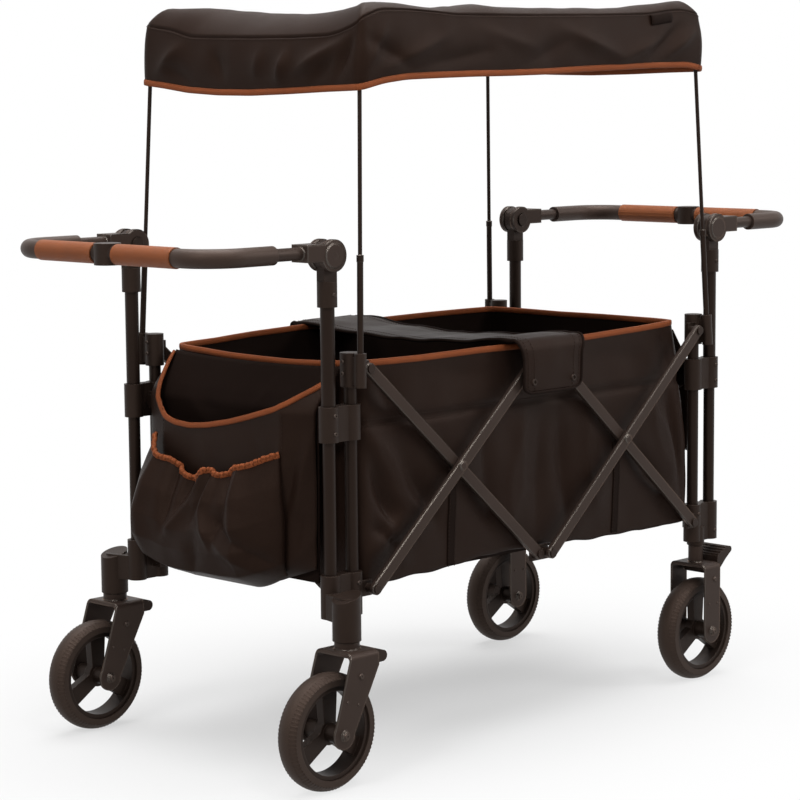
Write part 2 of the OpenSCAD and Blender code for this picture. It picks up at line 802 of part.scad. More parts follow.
// Flat scissor bar from a corner pivot to a mid pivot; the outer bar of a pair carries the rivet
module bars(end, corner_z, mid_z, layer) {
  outer = layer == outer_v;
  corner = [pivot_x, corner_z];
  mid = [mid_pivot_x, mid_z];
  color(steel) both_sides(end) {
    along_y(layer, bar_t) difference() {
      link_2d(mid, corner, bar_w);
      for (p = [corner, mid]) translate(p) circle(d = pin_d + 2 * run_fit);
      if (!outer) translate([cross_x, cross_z]) circle(d = pin_d + 2 * run_fit);
    }
    if (outer) {
      rod_y(cross_x, cross_z, inner_v - face_gap - weld, outer_v + weld, pin_d);
      rod_y(cross_x, cross_z, inner_v - face_gap - pin_head_t, inner_v - face_gap, pin_head_d);
      rod_y(cross_x, cross_z, outer_v + bar_t - weld, outer_v + bar_t + pin_head_t, pin_head_d);
    }
  }
}

// Bracket that joins the two scissors of one side; the outer bar ends at outer_end
module mid_brackets(z, outer_end) {
  edge = mid_pivot_x + boss_d / 2 + mid_plate_edge;
  color(plastic) for (side = [LEFT, RIGHT]) place(REAR, side) {
    pivot(outer_end * mid_pivot_x, z, outer_v, -edge, edge);
    pivot(-outer_end * mid_pivot_x, z, inner_v, -edge, edge);
  }
}

// Rounded rectangle as points, starting on the +X side, with the same count on every side
function outline(hx, hy, r) = [
  for (q = [0:3])
    let (sx = q == 0 || q == 3 ? 1 : -1, sy = q < 2 ? 1 : -1,
         c = [sx * (hx - r), sy * (hy - r)],
         a = [c.x + r * cos(q * quarter), c.y + r * sin(q * quarter)],
         next = (q + 1) % 4,
         nx = next == 0 || next == 3 ? 1 : -1, ny = next < 2 ? 1 : -1,
         b = [nx * (hx - r) + r * cos(next * quarter), ny * (hy - r) + r * sin(next * quarter)],
         e = [c.x + r * cos(q * quarter + quarter), c.y + r * sin(q * quarter + quarter)])
    each concat(
      [for (i = [0:corner_steps - 1]) let (t = q * quarter + quarter * i / corner_steps)
        [c.x + r * cos(t), c.y + r * sin(t)]],
      [for (i = [0:side_steps - 1]) e + (b - e) * i / side_steps])
];

// Triangles between two rings of n points that start at a and b
function band(a, b, n) = [
  for (i = [0:n - 1]) let (j = (i + 1) % n) each [[a + i, b + i, b + j], [a + i, b + j, a + j]]
];

// Triangles from a ring of n points that starts at a to one point
function fan(a, tip, n) = [for (i = [0:n - 1]) [a + i, tip, a + (i + 1) % n]];

function flip(faces) = [for (f = faces) [f[0], f[2], f[1]]];

// Closed shell through rings of equal count: hem inside, out over the top and back
function shell_faces(rings, n) = concat(
  [for (k = [0:rings - 2]) each band(k * n, (k + 1) * n, n)]
);

// Sag between the poles at a point of the canopy, 0 at the corners and 1 in the middle of an edge
function canopy_slack(p) = 1 - pow(min(abs(p.x) / canopy_x, 1), 4) * pow(min(abs(p.y) / canopy_y, 1), 4);

function canopy_point(p, level, inset) =
  let (tilt = canopy_rise * p.x / (2 * canopy_x), slack = canopy_slack(p) * canopy_sag,
       crown = level > 1 ? (level - 1) * canopy_crown : 0)
  [p.x, p.y, canopy_hem_z + tilt - slack + min(level, 1) * canopy_skirt + crown - inset];

function canopy_ring(row, wall) = [
  for (p = outline(canopy_x - wall, canopy_y - wall, canopy_r - wall))
    canopy_point(p * row[0], row[1], wall)
];

// Shell through rows from the hem to the middle: share of the outline kept, then level
module canopy() {
  table = [[1, 0], [1.006, 0.5], [0.994, 1], [0.965, 1.7], [0.7, 1.9], [0.35, 2], [0.02, 2.05]];
  count = 4 * (side_steps + corner_steps);
  rows = len(table);
  outer = [for (row = table) each canopy_ring(row, 0)];
  inner_hem = [for (p = canopy_ring(table[0], canopy_t)) [p.x, p.y, p.z + canopy_t]];
  inner = [for (i = [1:rows - 1]) each canopy_ring(table[i], canopy_t)];
  top = canopy_point([0, 0], table[rows - 1][1], 0);
  tip = rows * count * 2;
  points = concat(outer, inner_hem, inner, [top, top - [0, 0, canopy_t]]);
  faces = concat(
    flip(shell_faces(rows, count)),
    flip(fan((rows - 1) * count, tip, count)),
    [for (k = [0:rows - 2]) each band((rows + k) * count, (rows + k + 1) * count, count)],
    fan((2 * rows - 1) * count, tip + 1, count),
    band(0, rows * count, count));
  color(cloth) polyhedron(points, faces, convexity = 4);
}

// Open-topped box of cloth with round upright edges
module basket() {
  color(cloth) difference() {
    translate([0, 0, basket_z]) rounded_block(basket_x, basket_y, rim_z - basket_z, basket_r);
    translate([0, 0, basket_z + cloth_t])
      rounded_block(basket_x - cloth_t, basket_y - cloth_t, rim_z, basket_r - cloth_t);
  }
}

module rounded_block(hx, hy, h, r) {
  for (x = [-hx + r, hx - r], y = [-hy + r, hy - r]) translate([x, y, 0]) cylinder(r = r, h = h);
  translate([-hx + r, -hy, 0]) cube([2 * (hx - r), 2 * hy, h]);
  translate([-hx, -hy + r, 0]) cube([2 * hx, 2 * (hy - r), h]);
}

// Mat corner to corner: the sides draw in between the corners and the top is crowned
function mat_ring(keep, z) = [
  for (p = outline(basket_x - cloth_t - mat_gap, basket_y - cloth_t - mat_gap, mat_r))
    let (sx = p.x / basket_x, sy = p.y / basket_y,
         draw = mat_pull * (1 - pow(abs(sx * sy), 2)))
    [p.x * keep - sign(p.x) * draw * abs(sx), p.y * keep - sign(p.y) * draw * abs(sy), z]
];

module floor_mat() {
  count = 4 * (side_steps + corner_steps);
  low = basket_z + cloth_t + face_gap;
  rows = [[0.985, 0], [1, mat_edge / 2], [0.99, mat_edge], [0.93, 0.75], [0.6, 0.95], [0.3, 1]];
  points = concat([for (row = rows) each mat_ring(row[0], low + row[1] * mat_t)],
                  [[0, 0, low], [0, 0, low + mat_t]]);
  tip = len(rows) * count;
  faces = concat(flip(shell_faces(len(rows), count)), fan(0, tip, count),
                 flip(fan((len(rows) - 1) * count, tip + 1, count)));
  color(cloth) polyhedron(points, faces, convexity = 2);
}

// Cloth band over both rims, with a flap down each side over the top mid brackets
module centre_cover() {
  flap_v = outer_v + bar_t + face_gap + pin_head_t + face_gap;
  low = rim_z + face_gap;
  color(cloth) {
    translate([-cover_x, -flap_v - cover_t, low]) cube([2 * cover_x, 2 * (flap_v + cover_t), cover_t]);
    for (side = [LEFT, RIGHT]) place(REAR, side) along_y(flap_v, cover_t) {
      translate([-cover_x, low - cover_drop + flap_r]) square([2 * cover_x, cover_drop - flap_r + weld]);
      translate([-cover_x + flap_r, low - cover_drop]) square([2 * (cover_x - flap_r), cover_drop]);
      for (x = [-1, 1]) translate([x * (cover_x - flap_r), low - cover_drop + flap_r]) circle(flap_r);
    }
  }
}

// Space in front of an end panel, bulging low and drawn in at the top
module bag_2d(depth, low, top) {
  front = pocket_back_u + depth;
  drawn = front - depth * bag_draw;
  tall = pocket_rim_z - low;
  polygon([[pocket_back_u + weld, low + bag_toe.y], [pocket_back_u + bag_toe.x, low],
           [drawn, low + bag_toe_rise], [front, low + bag_full[0] * tall],
           [front - bag_slack, low + bag_full[1] * tall], [drawn, pocket_rim_z],
           [basket_x + bag_lip, top], [basket_x + face_gap, top],
           [pocket_back_u + weld, pocket_shoulder_z]]);
}

// The same space inside the cloth, open towards the panel and the top
module bag_inside_2d(depth, low, top) {
  front = pocket_back_u + depth - pocket_t;
  drawn = front - depth * bag_draw;
  tall = pocket_rim_z - low;
  past = basket_x - basket_r / 2;
  polygon([[pocket_back_u, low + bag_toe.y + pocket_t], [pocket_back_u + bag_toe.x, low + pocket_t],
           [drawn, low + bag_toe_rise + pocket_t], [front, low + bag_full[0] * tall],
           [front - bag_slack, low + bag_full[1] * tall], [drawn, pocket_rim_z],
           [basket_x + bag_lip - pocket_t, top + weld], [past, top + weld], [past, pocket_shoulder_z],
           [pocket_back_u, pocket_shoulder_z - basket_r / 2]]);
}

// Curved mouth of a bag: low in the middle, rising to both ends
module mouth_2d(z, rise) {
  steps = 16;
  half = pocket_y - pocket_t;
  polygon(concat([for (i = [0:steps]) let (t = 2 * i / steps - 1) [t * half, z + rise * pow(abs(t), 4)]],
                 [[half, rim_z], [-half, rim_z]]));
}

// End panel from the basket rim down over the brace, with an open bag in front of it
module pocket(end, depth, low, mouth_z) {
  color(cloth) place(end, RIGHT) {
    difference() {
      along_y(-pocket_y, 2 * pocket_y) bag_2d(depth, low, panel_top);
      along_y(-pocket_y + pocket_t, 2 * (pocket_y - pocket_t)) bag_inside_2d(depth, low, panel_top);
      along_x(basket_x, pocket_back_u + depth - basket_x + weld)
        mouth_2d(mouth_z, panel_top - mouth_drop - mouth_z);
    }
    along_y(-pocket_y, 2 * pocket_y) polygon([
      [basket_x + face_gap, panel_top], [pocket_back_u, pocket_shoulder_z], [pocket_back_u, low + bag_toe.y],
      [pocket_back_u + pocket_t, low + bag_toe.y], [pocket_back_u + pocket_t, pocket_shoulder_z],
      [basket_x + face_gap + pocket_t, panel_top]]);
  }
}

// Gathered pouch in front of the front pocket
module pouch_2d(wall) {
  back = pocket_back_u + pocket_depth + face_gap + wall;
  front = pocket_back_u + pocket_depth + face_gap + pouch_depth - wall;
  top = pouch_rim_z + (wall > 0 ? weld : 0);
  tall = pouch_rim_z - pouch_low_z;
  polygon([[back, pouch_low_z + pouch_toe.y + wall], [back + pouch_toe.x, pouch_low_z + wall],
           [front - pouch_depth * bag_draw, pouch_low_z + pouch_toe_rise + wall],
           [front, pouch_low_z + pouch_full[0] * tall],
           [front - bag_slack, pouch_low_z + pouch_full[1] * tall],
           [front - pouch_depth * pouch_draw, top], [back, top]]);
}

module front_pouch() {
  color(cloth) place(FRONT, RIGHT) difference() {
    along_y(-pocket_y, 2 * pocket_y) pouch_2d(0);
    along_y(-pocket_y + pocket_t, 2 * (pocket_y - pocket_t)) pouch_2d(pocket_t);
  }
}

raise() front_foot(LEFT);  // front_left_foot
raise() front_foot(RIGHT);  // front_right_foot
raise() handle_posts(FRONT);  // front_handle_posts
raise() collars(FRONT);  // front_collars
raise() cross_brace(FRONT);  // front_cross_brace
raise() hinge_sockets(FRONT);  // front_hinge_sockets
raise() arms(FRONT);  // front_arms
raise() elbows(FRONT);  // front_elbows
raise() grips(FRONT);  // front_grips
raise() grip_joint(FRONT);  // front_grip_joint
raise() button(FRONT, LEFT);  // front_left_button
raise() button(FRONT, RIGHT);  // front_right_button
raise() front_fork(LEFT);  // front_left_fork
raise() front_fork(RIGHT);  // front_right_fork
raise() rim(FRONT, LEFT, front_wheel_x, caster_y);  // front_left_rim
raise() rim(FRONT, RIGHT, front_wheel_x, caster_y);  // front_right_rim
raise() tyre(FRONT, LEFT, front_wheel_x, caster_y);  // front_left_tyre
raise() tyre(FRONT, RIGHT, front_wheel_x, caster_y);  // front_right_tyre
raise() lock(LEFT);  // front_left_lock
raise() lock(RIGHT);  // front_right_lock
raise() uprights(FRONT);  // front_uprights
raise() top_brackets(FRONT);  // front_top_brackets
raise() poles(FRONT);  // front_poles
raise() rear_foot(LEFT);  // rear_left_foot
raise() rear_foot(RIGHT);  // rear_right_foot
raise() handle_posts(REAR);  // rear_handle_posts
raise() collars(REAR);  // rear_collars
raise() cross_brace(REAR);  // rear_cross_brace
raise() hinge_sockets(REAR);  // rear_hinge_sockets
raise() arms(REAR);  // rear_arms
raise() elbows(REAR);  // rear_elbows
raise() grips(REAR);  // rear_grips
raise() grip_joint(REAR);  // rear_grip_joint
raise() button(REAR, LEFT);  // rear_left_button
raise() button(REAR, RIGHT);  // rear_right_button
raise() rear_fork(LEFT);  // rear_left_fork
raise() rear_fork(RIGHT);  // rear_right_fork
raise() rim(REAR, LEFT, rear_wheel_x, post_y);  // rear_left_rim
raise() rim(REAR, RIGHT, rear_wheel_x, post_y);  // rear_right_rim
raise() tyre(REAR, LEFT, rear_wheel_x, post_y);  // rear_left_tyre
raise() tyre(REAR, RIGHT, rear_wheel_x, post_y);  // rear_right_tyre
raise() pedal(LEFT);  // rear_left_pedal
raise() pedal(RIGHT);  // rear_right_pedal
raise() uprights(REAR);  // rear_uprights
raise() top_brackets(REAR);  // rear_top_brackets
raise() poles(REAR);  // rear_poles
raise() bars(FRONT, low_pivot_z, high_pivot_z, outer_v);  // front_rising_bars
raise() bars(FRONT, high_pivot_z, low_pivot_z, inner_v);  // front_falling_bars
raise() bars(REAR, high_pivot_z, low_pivot_z, outer_v);  // rear_rising_bars
raise() bars(REAR, low_pivot_z, high_pivot_z, inner_v);  // rear_falling_bars
raise() mid_brackets(high_pivot_z, FRONT);  // top_mid_brackets
raise() mid_brackets(low_pivot_z, REAR);  // bottom_mid_brackets
raise() basket();
raise() floor_mat();
raise() centre_cover();
raise() pocket(FRONT, pocket_depth, pocket_low_z, pocket_rim_z);  // front_pocket
raise() front_pouch();
raise() pocket(REAR, rear_pocket_depth, rear_pocket_low_z, rear_pocket_rim_z);  // rear_pocket
raise() canopy();
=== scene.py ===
"""Looks of the folding stroller wagon: cloth, leather, rubber, moulded plastic and painted steel.

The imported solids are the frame. Soft goods are sewn here in their place, small repeated things are laid out
by Geometry Nodes, and every surface gets a procedural finish. Lengths are in metres, except in tables and
folds, which are in millimetres. Front is -X and left is -Y.
"""

from __future__ import annotations

import json
import logging
import math
from dataclasses import dataclass, field
from enum import Enum
from typing import Any, Sequence

import bmesh
import bpy
import numpy as np
from mathutils import Matrix, Vector, noise

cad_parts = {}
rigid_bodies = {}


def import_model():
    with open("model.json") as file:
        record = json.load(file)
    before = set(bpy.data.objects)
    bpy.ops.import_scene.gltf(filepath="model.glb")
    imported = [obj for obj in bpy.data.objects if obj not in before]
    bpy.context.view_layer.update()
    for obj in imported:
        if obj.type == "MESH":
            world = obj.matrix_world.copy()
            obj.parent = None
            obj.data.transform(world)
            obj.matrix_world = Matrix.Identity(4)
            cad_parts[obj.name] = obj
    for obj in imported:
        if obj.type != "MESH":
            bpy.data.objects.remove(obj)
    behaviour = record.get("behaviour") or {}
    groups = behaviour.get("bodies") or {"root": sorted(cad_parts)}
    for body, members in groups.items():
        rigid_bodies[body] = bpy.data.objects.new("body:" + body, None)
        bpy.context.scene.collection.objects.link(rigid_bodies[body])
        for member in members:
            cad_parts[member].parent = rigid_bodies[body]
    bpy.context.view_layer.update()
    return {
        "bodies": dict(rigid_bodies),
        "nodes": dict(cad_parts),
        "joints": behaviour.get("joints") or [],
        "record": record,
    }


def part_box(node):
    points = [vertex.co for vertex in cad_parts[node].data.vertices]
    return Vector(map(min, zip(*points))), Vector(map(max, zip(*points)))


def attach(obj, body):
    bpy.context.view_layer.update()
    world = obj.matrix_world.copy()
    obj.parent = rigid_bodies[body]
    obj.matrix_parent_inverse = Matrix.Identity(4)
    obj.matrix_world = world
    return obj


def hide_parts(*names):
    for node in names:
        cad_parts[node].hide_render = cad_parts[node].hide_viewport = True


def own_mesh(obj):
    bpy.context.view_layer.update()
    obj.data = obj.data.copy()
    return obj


LOG = logging.getLogger("stroller_wagon")
Array = np.ndarray
Piece = bpy.types.Object
Socket = bpy.types.NodeSocket
Pair = tuple[float, float]
Triple = tuple[float, float, float]
Colour = Triple
Table = Sequence[Pair]
Folds = Sequence[tuple[float, float, float, float, float, float]]
Spot = tuple[Sequence[float], Sequence[float], float]
SIDES = ((-1, "left"), (1, "right"))
MM = 1000
TINY = 1e-9


class Slot(Enum):
    """Material slots of the record."""

    PAINT = "frame_paint"
    CLOTH = "black_cloth"
    LEATHER = "tan_leather"
    RUBBER = "wheel_rubber"


class End(Enum):
    """Ends of the wagon, with the sign of X."""

    FRONT = -1
    REAR = 1


class Term:
    """One output socket of a shader tree, so that maths on it reads as Python."""

    def __init__(self, shader: Shader, socket: Socket) -> None:
        """Keeps the shader and its socket."""
        self.shader = shader
        self.socket = socket

    def math(self, operation: str, *values: Any) -> Term:
        """Adds a Math node on the given values."""
        return self.shader.node("ShaderNodeMath", {"operation": operation}, dict(enumerate(values)))

    def wave(self, pitch: float, kind: str = "SINE") -> Term:
        """Sine or cosine of a length, from -1 to 1, that repeats at a pitch in metres."""
        return self.math(kind, self * (2 * math.pi / pitch))

    def __add__(self, other: Any) -> Term:
        """self + other"""
        return self.math("ADD", self, other)

    def __sub__(self, other: Any) -> Term:
        """self - other"""
        return self.math("SUBTRACT", self, other)

    def __rsub__(self, other: Any) -> Term:
        """other - self"""
        return self.math("SUBTRACT", other, self)

    def __mul__(self, other: Any) -> Term:
        """self * other"""
        return self.math("MULTIPLY", self, other)

    def __truediv__(self, other: Any) -> Term:
        """self / other"""
        return self.math("DIVIDE", self, other)

    def __pow__(self, other: Any) -> Term:
        """self ** other"""
        return self.math("POWER", self, other)

    def __rtruediv__(self, other: Any) -> Term:
        """other / self"""
        return self.math("DIVIDE", other, self)

    __radd__ = __add__
    __rmul__ = __mul__


class Shader:
    """A material whose nodes are added by Python expressions."""

    GLOSS_TINT: Colour = (1.0, 0.72, 0.59)
    EDGE_SAMPLES = 4
    EDGE_TURN = (0.02, 0.2)

    def __init__(self, name: str) -> None:
        """Starts an empty material.

        Args:
            name: name of the material.
        """
        self.material = bpy.data.materials.new(name)
        self.material.use_nodes = True
        self.tree = self.material.node_tree
        self.tree.nodes.clear()

    def node(self, kind: str, settings: dict[str, Any] | None = None, inputs: dict[Any, Any] | None = None,
             output: int | str = 0) -> Term:
        """Adds one node.

        Args:
            kind: type of the node.
            settings: its properties, set first.
            inputs: values or links of its sockets, by name or index.
            output: the socket that is returned.

        Returns:
            The chosen output.
        """
        item = self.tree.nodes.new(kind)
        for key, value in (settings or {}).items():
            setattr(item, key, value)
        for key, value in (inputs or {}).items():
            socket = item.inputs[key]
            if isinstance(value, Term):
                self.tree.links.new(value.socket, socket)
            elif socket.type == "RGBA":
                socket.default_value = (*value[:3], 1)
            else:
                socket.default_value = value
        return Term(self, item.outputs[output])

    def coords(self, kind: str = "Object") -> Term:
        """Object coordinates, or the piece's UV map in metres."""
        return self.node("ShaderNodeTexCoord", output=kind)

    def axis(self, vector: Term, name: str) -> Term:
        """One component of a vector: X, Y or Z."""
        return self.node("ShaderNodeSeparateXYZ", None, {0: vector}, name)

    def noise(self, vector: Term, scale: float, detail: float) -> Term:
        """Noise from 0 to 1 at a scale in cycles per metre."""
        return self.node("ShaderNodeTexNoise", None, {"Vector": vector, "Scale": scale, "Detail": detail})

    def ramp(self, value: Term, low: float, high: float) -> Term:
        """Smooth step of a value from 0 at low to 1 at high."""
        settings = {"interpolation_type": "SMOOTHSTEP"}
        return self.node("ShaderNodeMapRange", settings, {0: value, 1: low, 2: high})

    def mix(self, a: Any, b: Any, factor: Any) -> Term:
        """Colour between a and b."""
        return self.node("ShaderNodeMix", {"data_type": "RGBA"}, {0: factor, 6: a, 7: b}, 2)

    def bump(self, height: Term, depth: float, normal: Term | None = None) -> Term:
        """Bumps a normal.

        Args:
            height: height from 0 to 1.
            depth: what a height of 1 stands for, in metres.
            normal: the normal that is bumped, or the surface's own.

        Returns:
            The new normal.
        """
        inputs: dict[Any, Any] = {"Strength": 1.0, "Distance": depth, "Height": height}
        if normal is not None:
            inputs["Normal"] = normal
        return self.node("ShaderNodeBump", None, inputs)

    def rounded(self, radius: float) -> tuple[Term, Term]:
        """Softens the edges of a hard solid.

        Args:
            radius: radius of the edges.

        Returns:
            The rounded normal and a mask that is 1 on the edges.
        """
        soft = self.node("ShaderNodeBevel", {"samples": self.EDGE_SAMPLES}, {"Radius": radius})
        hard = self.node("ShaderNodeNewGeometry", output="Normal")
        same = self.node("ShaderNodeVectorMath", {"operation": "DOT_PRODUCT"}, {0: soft, 1: hard}, "Value")
        return soft, self.ramp(1 - same, *self.EDGE_TURN)

    def surface(self, **inputs: Any) -> bpy.types.Material:
        """Closes the tree with a Principled surface.

        Args:
            inputs: its sockets, with underscores for spaces.

        Returns:
            The material.
        """
        named = {"Specular Tint": self.GLOSS_TINT}
        named |= {key.replace("_", " "): value for key, value in inputs.items()}
        self.close(self.node("ShaderNodeBsdfPrincipled", None, named))
        return self.material

    def close(self, shader: Term) -> None:
        """Links a shader to the material output."""
        out = self.tree.nodes.new("ShaderNodeOutputMaterial")
        self.tree.links.new(shader.socket, out.inputs["Surface"])


@dataclass(frozen=True)
class Finish:
    """A surface finish with its name and main colour (linear)."""

    name: str
    colour: Colour

    def shade(self, shader: Shader) -> bpy.types.Material:
        """Fills the shader; each finish has its own way."""
        raise NotImplementedError

    def material(self) -> bpy.types.Material:
        """The material, made once."""
        return bpy.data.materials.get(self.name) or self.shade(Shader(self.name))

    def toned(self, scale: float) -> Colour:
        """The colour scaled, darker under 1 and lighter over it."""
        return tuple(c * scale for c in self.colour)

    def blend(self, shader: Shader, low: float, high: float, share: Term) -> Term:
        """The colour scaled from low to high by a share of 0 to 1."""
        return shader.mix(self.toned(low), self.toned(high), share)


@dataclass(frozen=True)
class Weave(Finish):
    """Woven cloth: threads over and under, slubs, and soft shine on the folds."""

    pitch: float
    rough: float
    shine: float
    relief: float = 0.00025
    tones: Pair = (0.72, 1.3)
    slub_scale: float = 900
    cloud_scale: float = 14

    def shade(self, shader: Shader) -> bpy.types.Material:
        """Threads follow the UV map, which is in metres.

        Args:
            shader: the empty material.

        Returns:
            The material.
        """
        uv = shader.coords("UV")
        warp, weft = (shader.axis(uv, name).wave(self.pitch) for name in "XY")
        threads = (warp * weft) * 0.5 + 0.5
        slub = shader.noise(uv, self.slub_scale, 2)
        cloud = shader.noise(shader.coords(), self.cloud_scale, 4)
        tone = self.blend(shader, *self.tones, threads * 0.35 + slub * 0.3 + cloud * 0.35)
        normal = shader.bump(threads * 0.6 + slub * 0.4, self.relief)
        return shader.surface(Base_Color=tone, Roughness=self.rough + cloud * 0.12, Normal=normal,
                              Specular_IOR_Level=self.shine)


@dataclass(frozen=True)
class Tape(Finish):
    """Ribbed tape or thread with rows of dark stitches along it."""

    rib: float = 0.0014
    row: float = 0.006
    stitch: float = 0.0045
    row_edge: Pair = (0.35, 0.9)
    dash_edge: Pair = (-0.9, -0.3)
    tones: Pair = (0.75, 1.24)
    dark: float = 0.42
    cover: float = 0.75
    rough: float = 0.5
    shine: float = 0.1
    relief: float = 0.0003
    wear_scale: float = 60

    def shade(self, shader: Shader) -> bpy.types.Material:
        """Ribs cross the tape and stitches run beside its edges; UV runs along it.

        Args:
            shader: the empty material.

        Returns:
            The material.
        """
        uv = shader.coords("UV")
        u, v = shader.axis(uv, "X"), shader.axis(uv, "Y")
        ribs = u.wave(self.rib) * 0.5 + 0.5
        wear = shader.noise(shader.coords(), self.wear_scale, 4)
        ground = self.blend(shader, *self.tones, ribs * 0.25 + wear * 0.75)
        row = shader.ramp(0 - v.wave(self.row, "COSINE"), *self.row_edge)
        dash = shader.ramp(u.wave(self.stitch), *self.dash_edge)
        tone = shader.mix(ground, self.toned(self.dark), row * dash * self.cover)
        return shader.surface(Base_Color=tone, Roughness=self.rough + wear * 0.2,
                              Normal=shader.bump(ribs, self.relief), Specular_IOR_Level=self.shine)


@dataclass(frozen=True)
class Hide(Finish):
    """Tan leather with pebbled grain, darker in the creases."""

    crease: float = 0.16
    tones: Pair = (0.62, 1.15)
    rough: float = 0.42
    shine: float = 0.16
    coat: float = 0.04
    coat_rough: float = 0.35
    cell_scale: float = 620
    patch_scale: float = 45
    relief: float = 0.00035

    def shade(self, shader: Shader) -> bpy.types.Material:
        """Grain cells and slow colour changes.

        Args:
            shader: the empty material.

        Returns:
            The material.
        """
        co = shader.coords()
        cells = shader.node("ShaderNodeTexVoronoi", {"feature": "DISTANCE_TO_EDGE"},
                            {"Vector": co, "Scale": self.cell_scale})
        grain = shader.ramp(cells, 0.0, self.crease)
        patch = shader.noise(co, self.patch_scale, 5)
        tone = self.blend(shader, *self.tones, grain * 0.3 + patch * 0.7)
        return shader.surface(Base_Color=tone, Roughness=self.rough + patch * 0.16,
                              Normal=shader.bump(grain, self.relief), Coat_Weight=patch * self.coat,
                              Coat_Roughness=self.coat_rough, Specular_IOR_Level=self.shine)


@dataclass(frozen=True)
class Enamel(Finish):
    """Powder-coated steel: fine orange peel, and edges painted a pale metal tone as highlight lines."""

    rough: float
    edge: float = 0.0022
    # Painted highlight: the pale metallic tone that the edges take, so that they show bright lines.
    edge_highlight_tone: Colour = (0.095, 0.083, 0.073)
    tones: Pair = (0.85, 1.2)
    polish: float = 0.22
    shine: float = 0.17
    relief: float = 0.00004
    peel_scale: float = 700
    dust_scale: float = 22

    def shade(self, shader: Shader) -> bpy.types.Material:
        """Peel on object coordinates over rounded edges.

        Args:
            shader: the empty material.

        Returns:
            The material.
        """
        co = shader.coords()
        peel = shader.noise(co, self.peel_scale, 2)
        dust = shader.noise(co, self.dust_scale, 5)
        soft, rim = shader.rounded(self.edge)
        # Painted highlight: the edges are mixed to the pale metallic tone; the lamps' reflections in them are
        # rendered.
        tone = shader.mix(self.blend(shader, *self.tones, dust), self.edge_highlight_tone, rim)
        gloss = self.rough + dust * 0.14 - rim * self.polish
        return shader.surface(Base_Color=tone, Roughness=gloss, Metallic=rim,
                              Normal=shader.bump(peel, self.relief, soft), Specular_IOR_Level=self.shine)


@dataclass(frozen=True)
class Moulding(Finish):
    """Moulded plastic with a spark-eroded grain and softened edges, painted paler as a highlight."""

    rough: float = 0.42
    edge: float = 0.0016
    tones: Pair = (0.84, 1.18)
    # Painted highlight: how much paler the edges are painted.
    pale: float = 2.6
    polish: float = 0.16
    shine: float = 0.2
    relief: float = 0.00015
    grain_scale: float = 1500
    flow_scale: float = 18

    def shade(self, shader: Shader) -> bpy.types.Material:
        """Grain on object coordinates.

        Args:
            shader: the empty material.

        Returns:
            The material.
        """
        co = shader.coords()
        grain = shader.noise(co, self.grain_scale, 2)
        flow = shader.noise(co, self.flow_scale, 4)
        soft, rim = shader.rounded(self.edge)
        # Painted highlight: the edges are mixed toward the paler tone.
        tone = shader.mix(self.blend(shader, *self.tones, flow), self.toned(self.pale), rim * 0.6)
        return shader.surface(Base_Color=tone, Roughness=self.rough + flow * 0.12 - rim * self.polish,
                              Normal=shader.bump(grain, self.relief, soft), Specular_IOR_Level=self.shine)


@dataclass(frozen=True)
class Foam(Finish):
    """Matt tyre rubber with fine pits and dust."""

    edge: float = 0.0015
    tones: Pair = (0.8, 1.5)
    rough: float = 0.5
    shine: float = 0.25
    relief: float = 0.0003
    pit_scale: float = 900
    dust_scale: float = 35

    def shade(self, shader: Shader) -> bpy.types.Material:
        """Pits and dust on object coordinates; the edges are painted paler as a highlight.

        Args:
            shader: the empty material.

        Returns:
            The material.
        """
        co = shader.coords()
        pits = shader.noise(co, self.pit_scale, 3)
        dust = shader.noise(co, self.dust_scale, 5)
        soft, rim = shader.rounded(self.edge)
        # The dust is the rubber's own tone; the paler edges are a painted highlight.
        tone = self.blend(shader, *self.tones, dust * 0.7 + rim * 0.3)
        return shader.surface(Base_Color=tone, Roughness=self.rough + dust * 0.16,
                              Normal=shader.bump(pits, self.relief, soft), Specular_IOR_Level=self.shine)


@dataclass(frozen=True)
class Bolt(Finish):
    """Blackened screw steel with bare metal showing on its wear."""

    tones: Pair = (0.8, 1.6)
    rough: float = 0.36
    bare: float = 0.3
    rub_scale: float = 400

    def shade(self, shader: Shader) -> bpy.types.Material:
        """Oxide and bare patches.

        Args:
            shader: the empty material.

        Returns:
            The material.
        """
        rub = shader.noise(shader.coords(), self.rub_scale, 3)
        tone = self.blend(shader, *self.tones, rub)
        return shader.surface(Base_Color=tone, Roughness=self.rough + rub * 0.2,
                              Metallic=self.bare + rub * 0.3)


